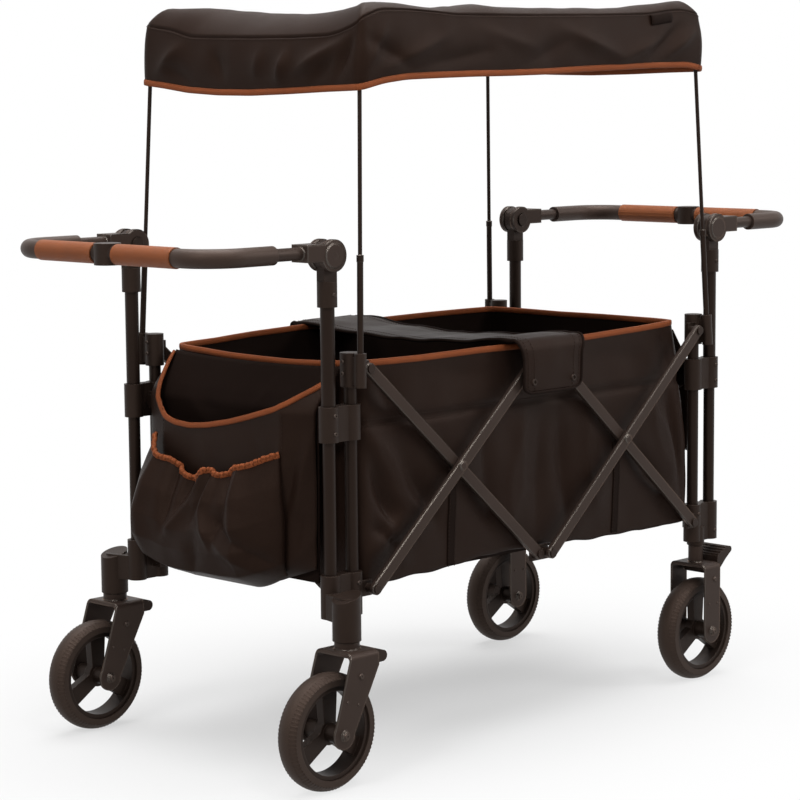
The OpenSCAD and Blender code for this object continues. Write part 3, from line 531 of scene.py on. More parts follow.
class Finishes:
    """Every finish on the wagon."""

    CANOPY = Weave("canopy cloth", (0.0120, 0.0063, 0.0044), pitch=0.0015, rough=0.38, shine=0.055)
    BASKET = Weave("basket cloth", (0.0115, 0.0060, 0.0042), pitch=0.0018, rough=0.38, shine=0.07)
    # Darker copy of the basket cloth: painted shade inside the tub, on the floor mat and behind the pocket.
    LINING = Weave("lining cloth", (0.0080, 0.0048, 0.0038), pitch=0.002, rough=0.7, shine=0.02)
    WEBBING = Weave("webbing", (0.0080, 0.0048, 0.0038), pitch=0.0024, rough=0.62, shine=0.04)
    BINDING = Tape("brown binding", (0.185, 0.0500, 0.0175))
    THREAD = Tape("black thread", (0.018, 0.011, 0.0085))
    LEATHER = Hide("tan leather", (0.185, 0.053, 0.0165))
    WAXED = Tape("waxed thread", (0.24, 0.085, 0.034))
    STEEL = Enamel("painted steel", (0.0070, 0.0041, 0.0030), rough=0.34)
    PLATE = Enamel("painted plate", (0.0220, 0.0145, 0.0116), rough=0.36, edge=0.0046)
    PLASTIC = Moulding("moulded plastic", (0.0095, 0.0058, 0.0043))
    COVER = Moulding("soft cover", (0.0260, 0.0170, 0.0135))
    WHEEL = Moulding("wheel plastic", (0.0095, 0.0060, 0.0046), rough=0.4)
    RUBBER = Foam("tyre rubber", (0.0205, 0.0136, 0.0106))
    SCREW = Bolt("screw steel", (0.026, 0.020, 0.017))


def placed(name: str, data: bpy.types.ID) -> Piece:
    """Makes an object of its data and puts it in the scene.

    Args:
        name: name of the object.
        data: its mesh, camera or lamp.

    Returns:
        The new object.
    """
    item = bpy.data.objects.new(name, data)
    bpy.context.scene.collection.objects.link(item)
    return item


def points_of(mesh: bpy.types.Mesh) -> Array:
    """Points of a mesh."""
    return np.array([vertex.co for vertex in mesh.vertices])


def move_points(mesh: bpy.types.Mesh, points: Array) -> None:
    """Puts every point of a mesh in a new place."""
    mesh.vertices.foreach_set("co", points.astype(np.float32).ravel())


def map_cloth(mesh: bpy.types.Mesh, uv: Array) -> None:
    """Lays the UV map of a mesh.

    Args:
        mesh: the mesh.
        uv: one pair for each point, in metres.
    """
    layer = mesh.uv_layers.new(name="UVMap")
    loops = np.zeros(len(mesh.loops), np.int32)
    mesh.loops.foreach_get("vertex_index", loops)
    layer.data.foreach_set("uv", np.asarray(uv, np.float32)[loops].ravel())


def smooth(mesh: bpy.types.Mesh) -> None:
    """Shades every face of a mesh smooth."""
    mesh.polygons.foreach_set("use_smooth", [True] * len(mesh.polygons))


def keep(piece: Piece) -> None:
    """Turns a piece's modifiers into its plain mesh.

    Args:
        piece: the piece.
    """
    bpy.context.view_layer.update()
    ready = piece.evaluated_get(bpy.context.evaluated_depsgraph_get())
    mesh = bpy.data.meshes.new_from_object(ready)
    piece.modifiers.clear()
    piece.data = mesh


def made(name: str, vertices: Array, faces: Sequence[Sequence[int]], finish: Finish, uv: Array) -> Piece:
    """Makes a smooth mesh object at the origin.

    Args:
        name: name of the piece.
        vertices: its points.
        faces: its faces, pointing outwards.
        finish: its finish.
        uv: one pair for each vertex, in metres.

    Returns:
        The new object.
    """
    mesh = bpy.data.meshes.new(name)
    mesh.from_pydata(np.asarray(vertices, float).tolist(), [], [list(f) for f in faces])
    map_cloth(mesh, uv)
    smooth(mesh)
    mesh.materials.append(finish.material())
    mesh.validate()
    return placed(name, mesh)


def normals_of(grid: Array, wrap: bool) -> Array:
    """Unit normals of a grid of points.

    Args:
        grid: rows x columns x 3.
        wrap: whether the last column meets the first.

    Returns:
        Normals in the direction of (along rows) x (along columns).
    """
    if wrap:
        across = np.roll(grid, -1, 1) - np.roll(grid, 1, 1)
    else:
        across = np.gradient(grid, axis=1)
    up = np.gradient(grid, axis=0)
    out = np.cross(across, up)
    return out / np.maximum(np.linalg.norm(out, axis=2, keepdims=True), 1e-12)


def lengths(grid: Array, axis: int) -> Array:
    """Distance along rows or columns of a grid, from its first point.

    Args:
        grid: rows x columns x 3.
        axis: 0 for up the columns, 1 for along the rows.

    Returns:
        One distance for each point.
    """
    step = np.linalg.norm(np.diff(grid, axis=axis), axis=2)
    pad = [(0, 0), (0, 0)]
    pad[axis] = (1, 0)
    return np.pad(np.cumsum(step, axis=axis), pad)


def quads_of(index: Array, wrap: bool) -> Array:
    """Faces between the points of a grid.

    Args:
        index: rows x columns of point numbers.
        wrap: whether the last column meets the first.

    Returns:
        Four point numbers for each face.
    """
    right = np.roll(index, -1, 1) if wrap else index[:, 1:]
    left = index if wrap else index[:, :-1]
    return np.stack([left[:-1], right[:-1], right[1:], left[1:]], -1).reshape(-1, 4)


def cloth(name: str, grid: Array, thickness: float, finish: Finish, wrap: bool = False,
          uv: Array | None = None) -> Piece:
    """Sews a closed sheet of even thickness behind a grid of points.

    Args:
        name: name of the piece.
        grid: rows x columns x 3, seen from outside.
        thickness: thickness of the cloth.
        finish: its finish.
        wrap: whether the last column meets the first.
        uv: rows x columns x 2 in metres, or distances along the grid.

    Returns:
        The piece.
    """
    inner = grid - normals_of(grid, wrap) * thickness
    if uv is None:
        uv = np.stack([lengths(grid, 1), lengths(grid, 0)], 2)
    count = grid.shape[0] * grid.shape[1]
    index = np.arange(count).reshape(grid.shape[:2])
    quads = quads_of(index, wrap)
    faces = quads.tolist() + (quads[:, ::-1] + count).tolist()
    rims = [(index[0], True), (index[-1], False)]
    if not wrap:
        rims += [(index[:, 0], False), (index[:, -1], True)]
    for line, turn in rims:
        a, b = (line, np.roll(line, -1)) if wrap else (line[:-1], line[1:])
        for i, j in zip(a.tolist(), b.tolist()):
            face = [i, i + count, j + count, j]
            faces.append(face if turn else face[::-1])
    vertices = np.concatenate([grid.reshape(-1, 3), inner.reshape(-1, 3)])
    flat = uv.reshape(-1, 2)
    return made(name, vertices, faces, finish, np.concatenate([flat, flat]))


def welded(piece: Piece, distance: float = 1e-5) -> Piece:
    """Merges doubles of a piece, for grids that close on a line.

    Args:
        piece: the piece.
        distance: how near two points count as one.

    Returns:
        The piece.
    """
    work = bmesh.new()
    work.from_mesh(piece.data)
    bmesh.ops.remove_doubles(work, verts=work.verts, dist=distance)
    bmesh.ops.dissolve_degenerate(work, edges=work.edges, dist=1e-7)
    work.to_mesh(piece.data)
    work.free()
    return piece


def sweep(name: str, path: Array, up: Sequence[float], section: Array, finish: Finish,
          closed: bool = False) -> Piece:
    """Draws a section along a path.

    Args:
        name: name of the piece.
        path: points of the path.
        up: direction of the section's height.
        section: closed outline, as (sideways, up) pairs, counter-clockwise seen along the path.
        finish: its finish.
        closed: whether the path is a loop.

    Returns:
        The piece.
    """
    uv_step = 0.002
    up = np.broadcast_to(np.asarray(up, float), path.shape)
    along = np.roll(path, -1, 0) - np.roll(path, 1, 0) if closed else np.gradient(path, axis=0)
    along /= np.linalg.norm(along, axis=1, keepdims=True)
    side = np.cross(along, up)
    side /= np.maximum(np.linalg.norm(side, axis=1, keepdims=True), TINY)
    rise = np.cross(side, along)
    points = path[:, None] + section[None, :, :1] * side[:, None] + section[None, :, 1:] * rise[:, None]
    rows, cols = points.shape[:2]
    index = np.arange(rows * cols).reshape(rows, cols)
    rings = np.concatenate([index, index[:1]]) if closed else index
    quads = quads_of(rings, True).tolist()
    if not closed:
        quads += [index[0, ::-1].tolist(), index[-1].tolist()]
    step = np.linalg.norm(np.diff(path, axis=0), axis=1)
    run = np.concatenate([[0], np.cumsum(step)])
    uv = np.stack(np.broadcast_arrays(run[:, None], np.arange(cols)[None] * uv_step), 2)
    return made(name, points.reshape(-1, 3), quads, finish, uv.reshape(-1, 2))


def oval(width: float, height: float, count: int = 12, power: float = 0.6) -> Array:
    """Outline of a flattened tape or cord.

    Args:
        width: its width.
        height: its height.
        count: number of points.
        power: 1 for an ellipse, less for squarer corners.

    Returns:
        Points as (sideways, up) pairs.
    """
    turn = np.linspace(0, 2 * math.pi, count, endpoint=False)
    ring = np.stack([np.cos(turn), np.sin(turn)], 1)
    return np.sign(ring) * np.abs(ring) ** power * [width / 2, height / 2]


def raised(plan: Array, height: Array | float) -> Array:
    """Points of a plan, as (x, y) pairs, at a height of their own or one for all."""
    return np.concatenate([plan, np.broadcast_to(height, (len(plan),))[:, None]], 1)


def looped(line: Array) -> Array:
    """A line with its first point added at its end."""
    return np.concatenate([line, line[:1]])


def joined(name: str, pieces: Sequence[Piece]) -> Piece:
    """Makes one piece of several that have the same finish.

    Args:
        name: name of the new piece.
        pieces: the pieces; the first one takes the others in.

    Returns:
        The piece.
    """
    with bpy.context.temp_override(active_object=pieces[0], selected_editable_objects=list(pieces)):
        bpy.ops.object.join()
    pieces[0].name = pieces[0].data.name = name
    return pieces[0]


def rounded_plan(half: Pair, radius: float, step: float) -> tuple[Array, Array]:
    """Points around a rounded rectangle, counter-clockwise seen from above.

    Args:
        half: half its length and half its width.
        radius: radius of its corners.
        step: distance between points.

    Returns:
        The points and their outward normals.
    """
    points, outward = [], []
    quarter = math.pi / 2
    centres = [np.array([x * (half[0] - radius), y * (half[1] - radius)])
               for x, y in ((1, -1), (1, 1), (-1, 1), (-1, -1))]
    for i, centre in enumerate(centres):
        turns = max(3, round(radius * quarter / step))
        for k in range(turns + 1):
            angle = -quarter + i * quarter + quarter * k / turns
            normal = np.array([math.cos(angle), math.sin(angle)])
            points.append(centre + radius * normal)
            outward.append(normal)
        here, there = points[-1], centres[(i + 1) % 4] + radius * normal
        runs = max(2, round(np.linalg.norm(there - here) / step))
        for k in range(1, runs):
            points.append(here + (there - here) * k / runs)
            outward.append(normal)
    return np.array(points), np.array(outward)


def edge_gaps(x: Array, y: Array, half: Pair) -> tuple[Array, Array]:
    """Distances of points in a plan from its ends and from its sides."""
    return half[0] - np.abs(x), half[1] - np.abs(y)


def spine_of(plan: Array, half: Pair) -> Array:
    """Nearest places of an outline's points on the middle line that its panel closes to."""
    reach = half[0] - half[1]
    return np.stack([np.clip(plan[:, 0], -reach, reach), np.zeros(len(plan))], 1)


def bell(value: Array, middle: float, width: float, power: int = 2) -> Array:
    """A bump of height 1 around a middle; a higher power makes it squarer."""
    return np.exp(-(((value - middle) / width) ** power))


@dataclass(frozen=True)
class Crease:
    """A soft fold along a line in a panel's own coordinates; positive depth stands out."""

    start: Pair
    end: Pair
    width: float
    depth: float
    falloff: float = 1.4
    end_share: float = 0.3

    @classmethod
    def of(cls, row: Sequence[float]) -> Crease:
        """A fold from its two ends, its width and its depth, in millimetres."""
        a, b, c, d, width, depth = (value / MM for value in row)
        return cls((a, b), (c, d), width, depth)

    def at(self, a: Array, b: Array) -> Array:
        """Height of the fold at panel points (a, b).

        Args:
            a: run along the panel.
            b: height or second run.

        Returns:
            The heights.
        """
        run = np.subtract(self.end, self.start)
        t = ((a - self.start[0]) * run[0] + (b - self.start[1]) * run[1]) / (run @ run)
        t = np.clip(t, 0, 1)
        off = np.hypot(a - self.start[0] - t * run[0], b - self.start[1] - t * run[1])
        along = self.end_share + (1 - self.end_share) * np.sin(math.pi * t)
        return self.depth * np.exp(-((off / self.width) ** self.falloff)) * along


def creased(folds: Folds, a: Array, b: Array) -> Array:
    """Sum of the folds of a panel at points (a, b)."""
    return sum((Crease.of(row).at(a, b) for row in folds), np.zeros_like(a))


@dataclass(frozen=True)
class Slack:
    """Smooth unevenness of hanging cloth: its height, its scale in cycles per metre and a seed."""

    height: float
    scale: float
    seed: float

    def at(self, points: Array) -> Array:
        """Height at points of any shape (..., 3)."""
        flat = points.reshape(-1, 3) * self.scale + self.seed
        return self.height * np.array([noise.noise(Vector(p)) for p in flat]).reshape(points.shape[:-1])


def table(rows: Table, at: Array) -> Array:
    """Smoothed look-up in a table of (place, value) in millimetres.

    Args:
        rows: places and values, in millimetres, in order.
        at: places in metres.

    Returns:
        Values in metres.
    """
    samples, blur = 400, 25
    x, y = np.array(rows, float).T
    fine = np.linspace(x[0], x[-1], samples)
    kernel = np.hanning(blur)
    padded = np.pad(np.interp(fine, x, y), blur // 2, mode="edge")
    line = np.convolve(padded, kernel / kernel.sum(), "valid")
    return np.interp(np.asarray(at) * MM, fine, line) / MM


def around(plan: Array, half: Pair, sides: Sequence[Table]) -> Array:
    """Height along a rectangular outline.

    Args:
        plan: points of the outline.
        half: half its length and half its width.
        sides: tables of its front and rear by Y, then of its left and right by X.

    Returns:
        One height for each point, blended at the corners.
    """
    x, y = plan.T
    front, rear, left, right = sides
    ends = np.where(x < 0, table(front, y), table(rear, y))
    flanks = np.where(y < 0, table(left, x), table(right, x))
    gap_end, gap_side = edge_gaps(x, y, half)
    share = gap_side / np.maximum(gap_end + gap_side, 1e-6)
    return flanks * (1 - share) + ends * share


class Repeat:
    """A Geometry Nodes tree that lays out copies, run once and kept as a plain mesh."""

    KINDS = {"Float": "NodeSocketFloat", "Int": "NodeSocketInt", "Material": "NodeSocketMaterial",
             "Vector": "NodeSocketVector"}

    def __init__(self, name: str, **inputs: str) -> None:
        """Starts a tree.

        Args:
            name: name of the tree.
            inputs: kind of each input.
        """
        self.tree = bpy.data.node_groups.new(name, "GeometryNodeTree")
        face = self.tree.interface
        face.new_socket(name="Geometry", in_out="INPUT", socket_type="NodeSocketGeometry")
        face.new_socket(name="Geometry", in_out="OUTPUT", socket_type="NodeSocketGeometry")
        self.ids = {}
        for key, kind in {**inputs, "Material": "Material"}.items():
            socket = face.new_socket(name=key, in_out="INPUT", socket_type=self.KINDS[kind])
            self.ids[key] = socket.identifier
        self.inputs = self.tree.nodes.new("NodeGroupInput").outputs

    def node(self, kind: str, settings: dict[str, Any] | None = None,
             inputs: dict[Any, Any] | None = None) -> bpy.types.NodeOutputs:
        """Adds one node; settings go first, then values or links of its sockets.

        Args:
            kind: type of the node.
            settings: its properties.
            inputs: values or sockets by name or index.

        Returns:
            Its outputs.
        """
        item = self.tree.nodes.new(kind)
        for key, value in (settings or {}).items():
            setattr(item, key, value)
        for key, value in (inputs or {}).items():
            if isinstance(value, Socket):
                self.tree.links.new(value, item.inputs[key])
            else:
                item.inputs[key].default_value = value
        return item.outputs

    def maths(self, operation: str, a: Any, b: Any) -> Socket:
        """Adds a Math node on two values."""
        return self.node("ShaderNodeMath", {"operation": operation}, {0: a, 1: b})[0]

    def vector(self, x: Any = 0.0, y: Any = 0.0, z: Any = 0.0) -> Socket:
        """Adds a vector of three values."""
        return self.node("ShaderNodeCombineXYZ", None, {0: x, 1: y, 2: z})[0]

    def aimed(self, axis: str, vector: Socket) -> Socket:
        """Adds the turn that brings an axis to a direction."""
        return self.node("FunctionNodeAlignRotationToVector", {"axis": axis}, {"Vector": vector})[0]

    def moved(self, geometry: Socket, **inputs: Any) -> Socket:
        """Adds a Transform of some geometry, by Translation or Rotation."""
        return self.node("GeometryNodeTransform", None, {"Geometry": geometry, **inputs})[0]

    def copies(self, points: Socket, instance: Socket, **inputs: Any) -> Socket:
        """Adds copies of an instance at points, with their Rotation and Scale."""
        sockets = {"Points": points, "Instance": instance, **inputs}
        return self.node("GeometryNodeInstanceOnPoints", None, sockets)[0]

    def close(self, geometry: Socket) -> Repeat:
        """Ends the tree in Realize Instances and Set Material.

        Args:
            geometry: what the tree has made.

        Returns:
            The tree.
        """
        real = self.node("GeometryNodeRealizeInstances", None, {0: geometry})
        sockets = {"Geometry": real[0], "Material": self.inputs["Material"]}
        dressed = self.node("GeometryNodeSetMaterial", None, sockets)
        out = self.tree.nodes.new("NodeGroupOutput")
        self.tree.links.new(dressed[0], out.inputs[0])
        return self

    def run(self, mesh: bpy.types.Mesh, name: str, finish: Finish, **values: Any) -> Piece:
        """Runs the tree on a mesh and keeps the plain result.

        Args:
            mesh: points or lines that the copies follow.
            name: name of the piece.
            finish: finish of the copies.
            values: named inputs.

        Returns:
            The piece.
        """
        piece = placed(name, mesh)
        modifier = piece.modifiers.new(name, "NODES")
        modifier.node_group = self.tree
        for key, value in {**values, "Material": finish.material()}.items():
            modifier[self.ids[key]] = value
        keep(piece)
        piece.name = piece.data.name = name
        return piece


def stitching() -> Repeat:
    """Tree that lays short threads along lines.

    Returns:
        The tree.
    """
    tree = Repeat("stitches along a line", Spacing="Float", Length="Float", Thick="Float")
    line = tree.node("GeometryNodeMeshToCurve", None, {0: tree.inputs["Geometry"]})
    even = tree.node("GeometryNodeResampleCurve", {"mode": "LENGTH"},
                     {"Curve": line[0], "Length": tree.inputs["Spacing"]})
    bead = tree.node("GeometryNodeMeshUVSphere", None, {"Segments": 6, "Rings": 4, "Radius": 0.5})
    turn = tree.aimed("X", tree.node("GeometryNodeInputTangent")[0])
    thick = tree.inputs["Thick"]
    size = tree.vector(tree.inputs["Length"], thick, thick)
    return tree.close(tree.copies(even[0], bead["Mesh"], Rotation=turn, Scale=size))


def fastening() -> Repeat:
    """Tree that puts a screw head at each point, along its aim and to its size.

    Returns:
        The tree.
    """
    tree = Repeat("screws at points", Height="Float", Sides="Int", Recess="Float")
    height = tree.inputs["Height"]
    head = tree.node("GeometryNodeMeshCone", {"fill_type": "NGON"},
                     {"Vertices": 16, "Radius Top": 0.78, "Radius Bottom": 1.0, "Depth": height})
    drive = tree.node("GeometryNodeMeshCylinder", None,
                      {"Vertices": tree.inputs["Sides"], "Radius": tree.inputs["Recess"], "Depth": height})
    sunk = tree.moved(drive["Mesh"], Translation=tree.vector(z=tree.maths("MULTIPLY", height, 0.9)))
    cut_head = tree.node("GeometryNodeMeshBoolean", {"operation": "DIFFERENCE"}, {0: head["Mesh"], 1: sunk})
    named = "GeometryNodeInputNamedAttribute"
    aim, size = (tree.node(named, {"data_type": kind}, {"Name": name})["Attribute"]
                 for name, kind in (("aim", "FLOAT_VECTOR"), ("size", "FLOAT")))
    turn = tree.aimed("Z", aim)
    return tree.close(tree.copies(tree.inputs["Geometry"], cut_head["Mesh"], Rotation=turn, Scale=size))


def treading() -> Repeat:
    """Tree that lays a ring of tread blocks on both shoulders of a tyre, half a step apart.

    Returns:
        The tree.
    """
    tree = Repeat("tread blocks round a tyre", Count="Int", Radius="Float", Offset="Float", Lean="Float",
                  Block="Vector", Centre="Vector")
    block = tree.node("GeometryNodeMeshCube", None, {"Size": tree.inputs["Block"]})
    dots = tree.node("GeometryNodeMeshLine", None, {"Count": tree.inputs["Count"], "Offset": (0, 0, 0)})
    index = tree.node("GeometryNodeInputIndex")
    step = tree.maths("DIVIDE", 2 * math.pi, tree.inputs["Count"])
    both = tree.node("GeometryNodeJoinGeometry")
    for side, skip in ((-1.0, 0.0), (1.0, 0.5)):
        spot = tree.vector(y=tree.maths("MULTIPLY", tree.inputs["Offset"], side), z=tree.inputs["Radius"])
        tilt = tree.vector(tree.maths("MULTIPLY", tree.inputs["Lean"], -side))
        posed = tree.moved(block["Mesh"], Translation=spot, Rotation=tilt)
        angle = tree.maths("MULTIPLY", tree.maths("ADD", index[0], skip), step)
        ring = tree.copies(dots[0], posed, Rotation=tree.vector(y=angle))
        tree.tree.links.new(ring, both[0].node.inputs[0])
    return tree.close(tree.moved(both[0], Translation=tree.inputs["Centre"]))


@dataclass(frozen=True)
class Stitch:
    """Spacing, length and thickness of a row's stitches."""

    spacing: float
    length: float
    thick: float


class Stitches:
    """The kinds of stitch on the wagon."""

    HEM = Stitch(0.0062, 0.0042, 0.0011)
    SEAM = Stitch(0.006, 0.004, 0.0012)
    GRIP = Stitch(0.0055, 0.0038, 0.0011)


@dataclass(frozen=True)
class Head:
    """A screw head: height and recess as shares of its radius, and the sides of the recess."""

    height: float
    sides: int
    recess: float


class Heads:
    """The kinds of head on the wagon."""

    SCREW = Head(0.55, 6, 0.45)
    SNAP = Head(0.42, 16, 0.5)
    RIVET = Head(0.5, 16, 0.2)


@dataclass
class Workshop:
    """The Geometry Nodes trees that every sub-assembly uses."""

    stitches: Repeat = field(default_factory=stitching)
    screws: Repeat = field(default_factory=fastening)
    treads: Repeat = field(default_factory=treading)

    def sew(self, name: str, lines: Sequence[Array], finish: Finish, stitch: Stitch) -> Piece:
        """Stitches along lines.

        Args:
            name: name of the piece.
            lines: points of each line.
            finish: finish of the thread.
            stitch: size of its stitches.

        Returns:
            The piece.
        """
        edges, start = [], 0
        for line in lines:
            edges += [(start + i, start + i + 1) for i in range(len(line) - 1)]
            start += len(line)
        mesh = bpy.data.meshes.new(name)
        mesh.from_pydata(np.concatenate(lines).tolist(), edges, [])
        return self.stitches.run(mesh, name, finish, Spacing=stitch.spacing, Length=stitch.length,
                                 Thick=stitch.thick)

    def fasten(self, name: str, spots: Sequence[Spot], finish: Finish, head: Head) -> Piece:
        """Screw heads at spots.

        Args:
            name: name of the piece.
            spots: place, outward direction and radius of each.
            finish: finish of the heads.
            head: shape of the heads.

        Returns:
            The piece.
        """
        places, aims, sizes = zip(*spots)
        mesh = bpy.data.meshes.new(name)
        mesh.from_pydata(places, [], [])
        aim = mesh.attributes.new("aim", "FLOAT_VECTOR", "POINT")
        aim.data.foreach_set("vector", np.array(aims, np.float32).ravel())
        size = mesh.attributes.new("size", "FLOAT", "POINT")
        size.data.foreach_set("value", np.array(sizes, np.float32))
        return self.screws.run(mesh, name, finish, Height=head.height, Sides=head.sides, Recess=head.recess)


def dress(piece: Piece, body: str, slot: Slot, *nodes: str) -> Piece:
    """Puts a piece on its body.

    Args:
        piece: the piece.
        body: body that it moves with.
        slot: material slot of the record; not used.
        nodes: CAD nodes that it stands for.

    Returns:
        The piece.
    """
    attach(piece, body)
    if nodes:
        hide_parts(*nodes)
    LOG.info("%s on %s", piece.name, body)
    return piece


def dress_cloth(pieces: Sequence[Piece], body: str, node: str) -> None:
    """Puts sewn pieces on their body; the first one stands for the CAD node.

    Args:
        pieces: the sewn pieces.
        body: body that they move with.
        node: the CAD node.
    """
    dress(pieces[0], body, Slot.CLOTH, node)
    for piece in pieces[1:]:
        dress(piece, body, Slot.CLOTH)


@dataclass
class Frame:
    """The carried-over solids: posts, bars, brackets, handles and wheels."""

    nodes: dict[str, Piece]
    kinds: tuple[tuple[str, Finish], ...] = (
        ("_tyre", Finishes.RUBBER), ("_rim", Finishes.WHEEL), ("_grips", Finishes.LEATHER),
        ("_elbows", Finishes.COVER), ("_fork", Finishes.PLATE), ("_bars", Finishes.PLATE),
        ("_arms", Finishes.PLATE), ("_posts", Finishes.STEEL), ("_brace", Finishes.STEEL),
        ("_uprights", Finishes.STEEL), ("_poles", Finishes.STEEL))

    def finish_of(self, node: str) -> Finish:
        """Finish of a node by the kind of piece it is; the others are moulded plastic."""
        return next((finish for ending, finish in self.kinds if node.endswith(ending)), Finishes.PLASTIC)

    def paint(self) -> None:
        """Gives every node its finish."""
        for name, node in self.nodes.items():
            node.data.materials.clear()
            node.data.materials.append(self.finish_of(name).material())


@dataclass
class Canopy:
    """Cloth roof over the four pole tips: skirt, top panel, hem binding, stitches and a blank tag."""

    shop: Workshop
    half: Pair = (0.404, 0.249)
    corner: float = 0.013
    cloth_t: float = 0.0022
    step: float = 0.006
    skirt: tuple[float, ...] = (*np.linspace(0, 0.97, 22), 0.988, 1.0)
    belly: float = 0.004
    lean: float = 0.005
    groove: float = 0.0036
    side_slack: Slack = Slack(0.0016, 22, 3.1)
    fold_fade: float = 1.08
    rings: tuple[float, ...] = (
        0.0012, 0.004, 0.008, 0.012, 0.017, 0.024, 0.032, 0.041, 0.052, 0.066, 0.082, 0.10, 0.12, 0.14, 0.16,
        0.18, 0.20, 0.22, 0.24, 1.0)
    roll: float = 0.018
    roll_share: float = 1.05
    roll_power: float = 0.85
    least_rise: float = 0.004
    crown_reach: float = 0.11
    top_slack: Slack = Slack(0.0018, 16, 8.4)
    slack_reach: float = 0.03
    ridge: float = 1.147
    rear_rise: float = 0.0075
    tip_rise: float = 0.010
    tip_power: int = 3
    sag: float = 0.013
    sag_parts: Pair = (0.6, 0.4)
    sag_turn: float = 3
    far_lift: float = 0.005
    rear_lift: float = 0.022
    tape: Pair = (0.0052, 0.0098)
    tape_up: float = 0.0025
    thread_out: float = 0.0006
    tag_x: Pair = (0.262, 0.322)
    tag_drop: float = 0.019
    tag_out: float = 0.0068
    tag_bow: float = 0.003
    tag_turn: float = 2.6
    tag_t: float = 0.0008
    folded: float = 0.213
    hem_front: Table = ((-250, 1024), (-172, 1022), (-91, 1019), (-9, 1017), (68, 1018), (138, 1022),
                        (192, 1029), (250, 1035))
    hem_near: Table = ((-404, 1024), (-357, 1034), (-311, 1039), (-247, 1041), (-166, 1043), (-82, 1044),
                       (5, 1046), (94, 1050), (186, 1053), (281, 1056), (359, 1057), (404, 1050))
    hem_far: Table = ((-404, 1035), (-311, 1043), (-166, 1048), (5, 1052), (186, 1056), (359, 1058),
                      (404, 1055))
    hem_rear: Table = ((-250, 1050), (-172, 1049), (-91, 1047), (0, 1046), (91, 1048), (172, 1051),
                       (250, 1055))
    seam_front: Table = ((-250, 1126), (-228, 1115), (-197, 1106), (-173, 1102), (-93, 1101), (-11, 1102),
                         (75, 1104), (136, 1106), (184, 1118), (216, 1122), (250, 1127))
    seam_near: Table = ((-404, 1124), (-383, 1131), (-360, 1140), (-294, 1140), (-246, 1138), (-198, 1134),
                        (-39, 1135), (139, 1138), (271, 1142), (309, 1147), (349, 1150), (404, 1142))
    seam_far: Table = ((-404, 1127), (-360, 1140), (-246, 1137), (-39, 1135), (139, 1138), (309, 1146),
                       (404, 1143))
    seam_rear: Table = ((-250, 1142), (-228, 1134), (-197, 1125), (0, 1120), (197, 1125), (228, 1134),
                        (250, 1143))
    crown_front: Table = ((-250, 6), (-235, 4), (-200, 0), (-100, 0), (-60, 3), (0, 5), (27, 5), (54, 8),
                          (82, 11), (110, 13), (138, 16), (166, 16), (193, 14), (221, 11), (250, 10))
    crown_near: Table = ((-404, 8), (-373, 8), (-316, 6), (-258, 3), (-230, 3), (-200, 8), (-172, 9),
                         (-115, 9), (-57, 6), (0, 5), (57, 4), (115, 5), (170, 3), (230, 2), (287, 5),
                         (345, 7), (404, 9))
    crown_far: Table = ((-404, 10), (-340, 8), (-260, 3), (-150, 6), (0, 4), (150, 4), (287, 5), (404, 9))
    crown_rear: Table = ((-250, 9), (-200, 8), (-120, 4), (0, 2), (120, 5), (200, 9), (250, 9))
    near: Folds = (
        (-370, 1045, -220, 1105, 12, 8), (-300, 1050, -130, 1080, 11, -7), (-390, 1100, -300, 1055, 10, -8),
        (40, 1120, 200, 1066, 13, 8), (170, 1060, 300, 1105, 11, 7), (250, 1065, 350, 1130, 10, -8),
        (300, 1070, 385, 1120, 10, 7), (-60, 1050, 60, 1100, 15, -5), (-160, 1120, -20, 1085, 12, 5),
        (-385, 1060, -350, 1120, 9, 6))
    front: Folds = (
        (-70, 1030, -90, 1085, 11, 9), (-110, 1050, -220, 1105, 12, 10), (-200, 1040, -235, 1115, 9, -10),
        (210, 1050, 150, 1100, 12, 8), (50, 1035, 80, 1090, 12, -6), (-20, 1040, -30, 1090, 12, 5),
        (-140, 1030, -190, 1070, 10, -7), (120, 1030, 190, 1060, 12, -6))
    pulls: Folds = ((-185, -240, -170, 240, 18, -6), (-130, -240, -120, 240, 30, 3),
                    (160, -240, 150, 240, 50, -3))

    def folds(self, plan: Array, z: Array) -> Array:
        """Folds of the skirt; the far side and the rear have the same ones turned round.

        Args:
            plan: points of the outline.
            z: their heights.

        Returns:
            How far the folds stand out.
        """
        x, y = plan.T
        gap_end, gap_side = edge_gaps(x, y, self.half)
        side = np.where(y < 0, creased(self.near, x, z), creased(self.near, -x, z - self.far_lift))
        end = np.where(x < 0, creased(self.front, y, z), creased(self.front, -y, z - self.rear_lift))
        return np.where(gap_end < gap_side, end, side)

    def top(self, x: Array, y: Array) -> Array:
        """Height of the top panel: pushed up over the poles, slack between them.

        Args:
            x: places along the canopy.
            y: places across it.

        Returns:
            The heights.
        """
        half_x, half_y = self.half
        steady, swing = self.sag_parts
        lift = self.ridge + self.rear_rise * x / half_x
        hump = self.tip_rise * np.abs(x / half_x) ** self.tip_power * np.abs(y / half_y) ** self.tip_power
        slack = self.sag * (1 - (y / half_y) ** 2) * (steady + swing * np.cos(self.sag_turn * x / half_x))
        return lift + hump - slack + creased(self.pulls, x, y)

    def skirt_rows(self, plan: Array, outward: Array, hem: Array, seam: Array) -> list[Array]:
        """Rows of the skirt from its hem up to the seam.

        Args:
            plan: points of the outline.
            outward: their normals.
            hem: height of the hem at each.
            seam: height of the seam at each.

        Returns:
            The rows.
        """
        rows = []
        for t in self.skirt:
            z = hem + (seam - hem) * t
            swell = self.belly * math.sin(math.pi * t) - self.lean * t
            folded = self.folds(plan, z) * math.sin(math.pi * min(t * self.fold_fade, 1))
            out = swell + folded + self.side_slack.at(raised(plan, z))
            rows.append(raised(plan + outward * out[:, None], z))
        return rows

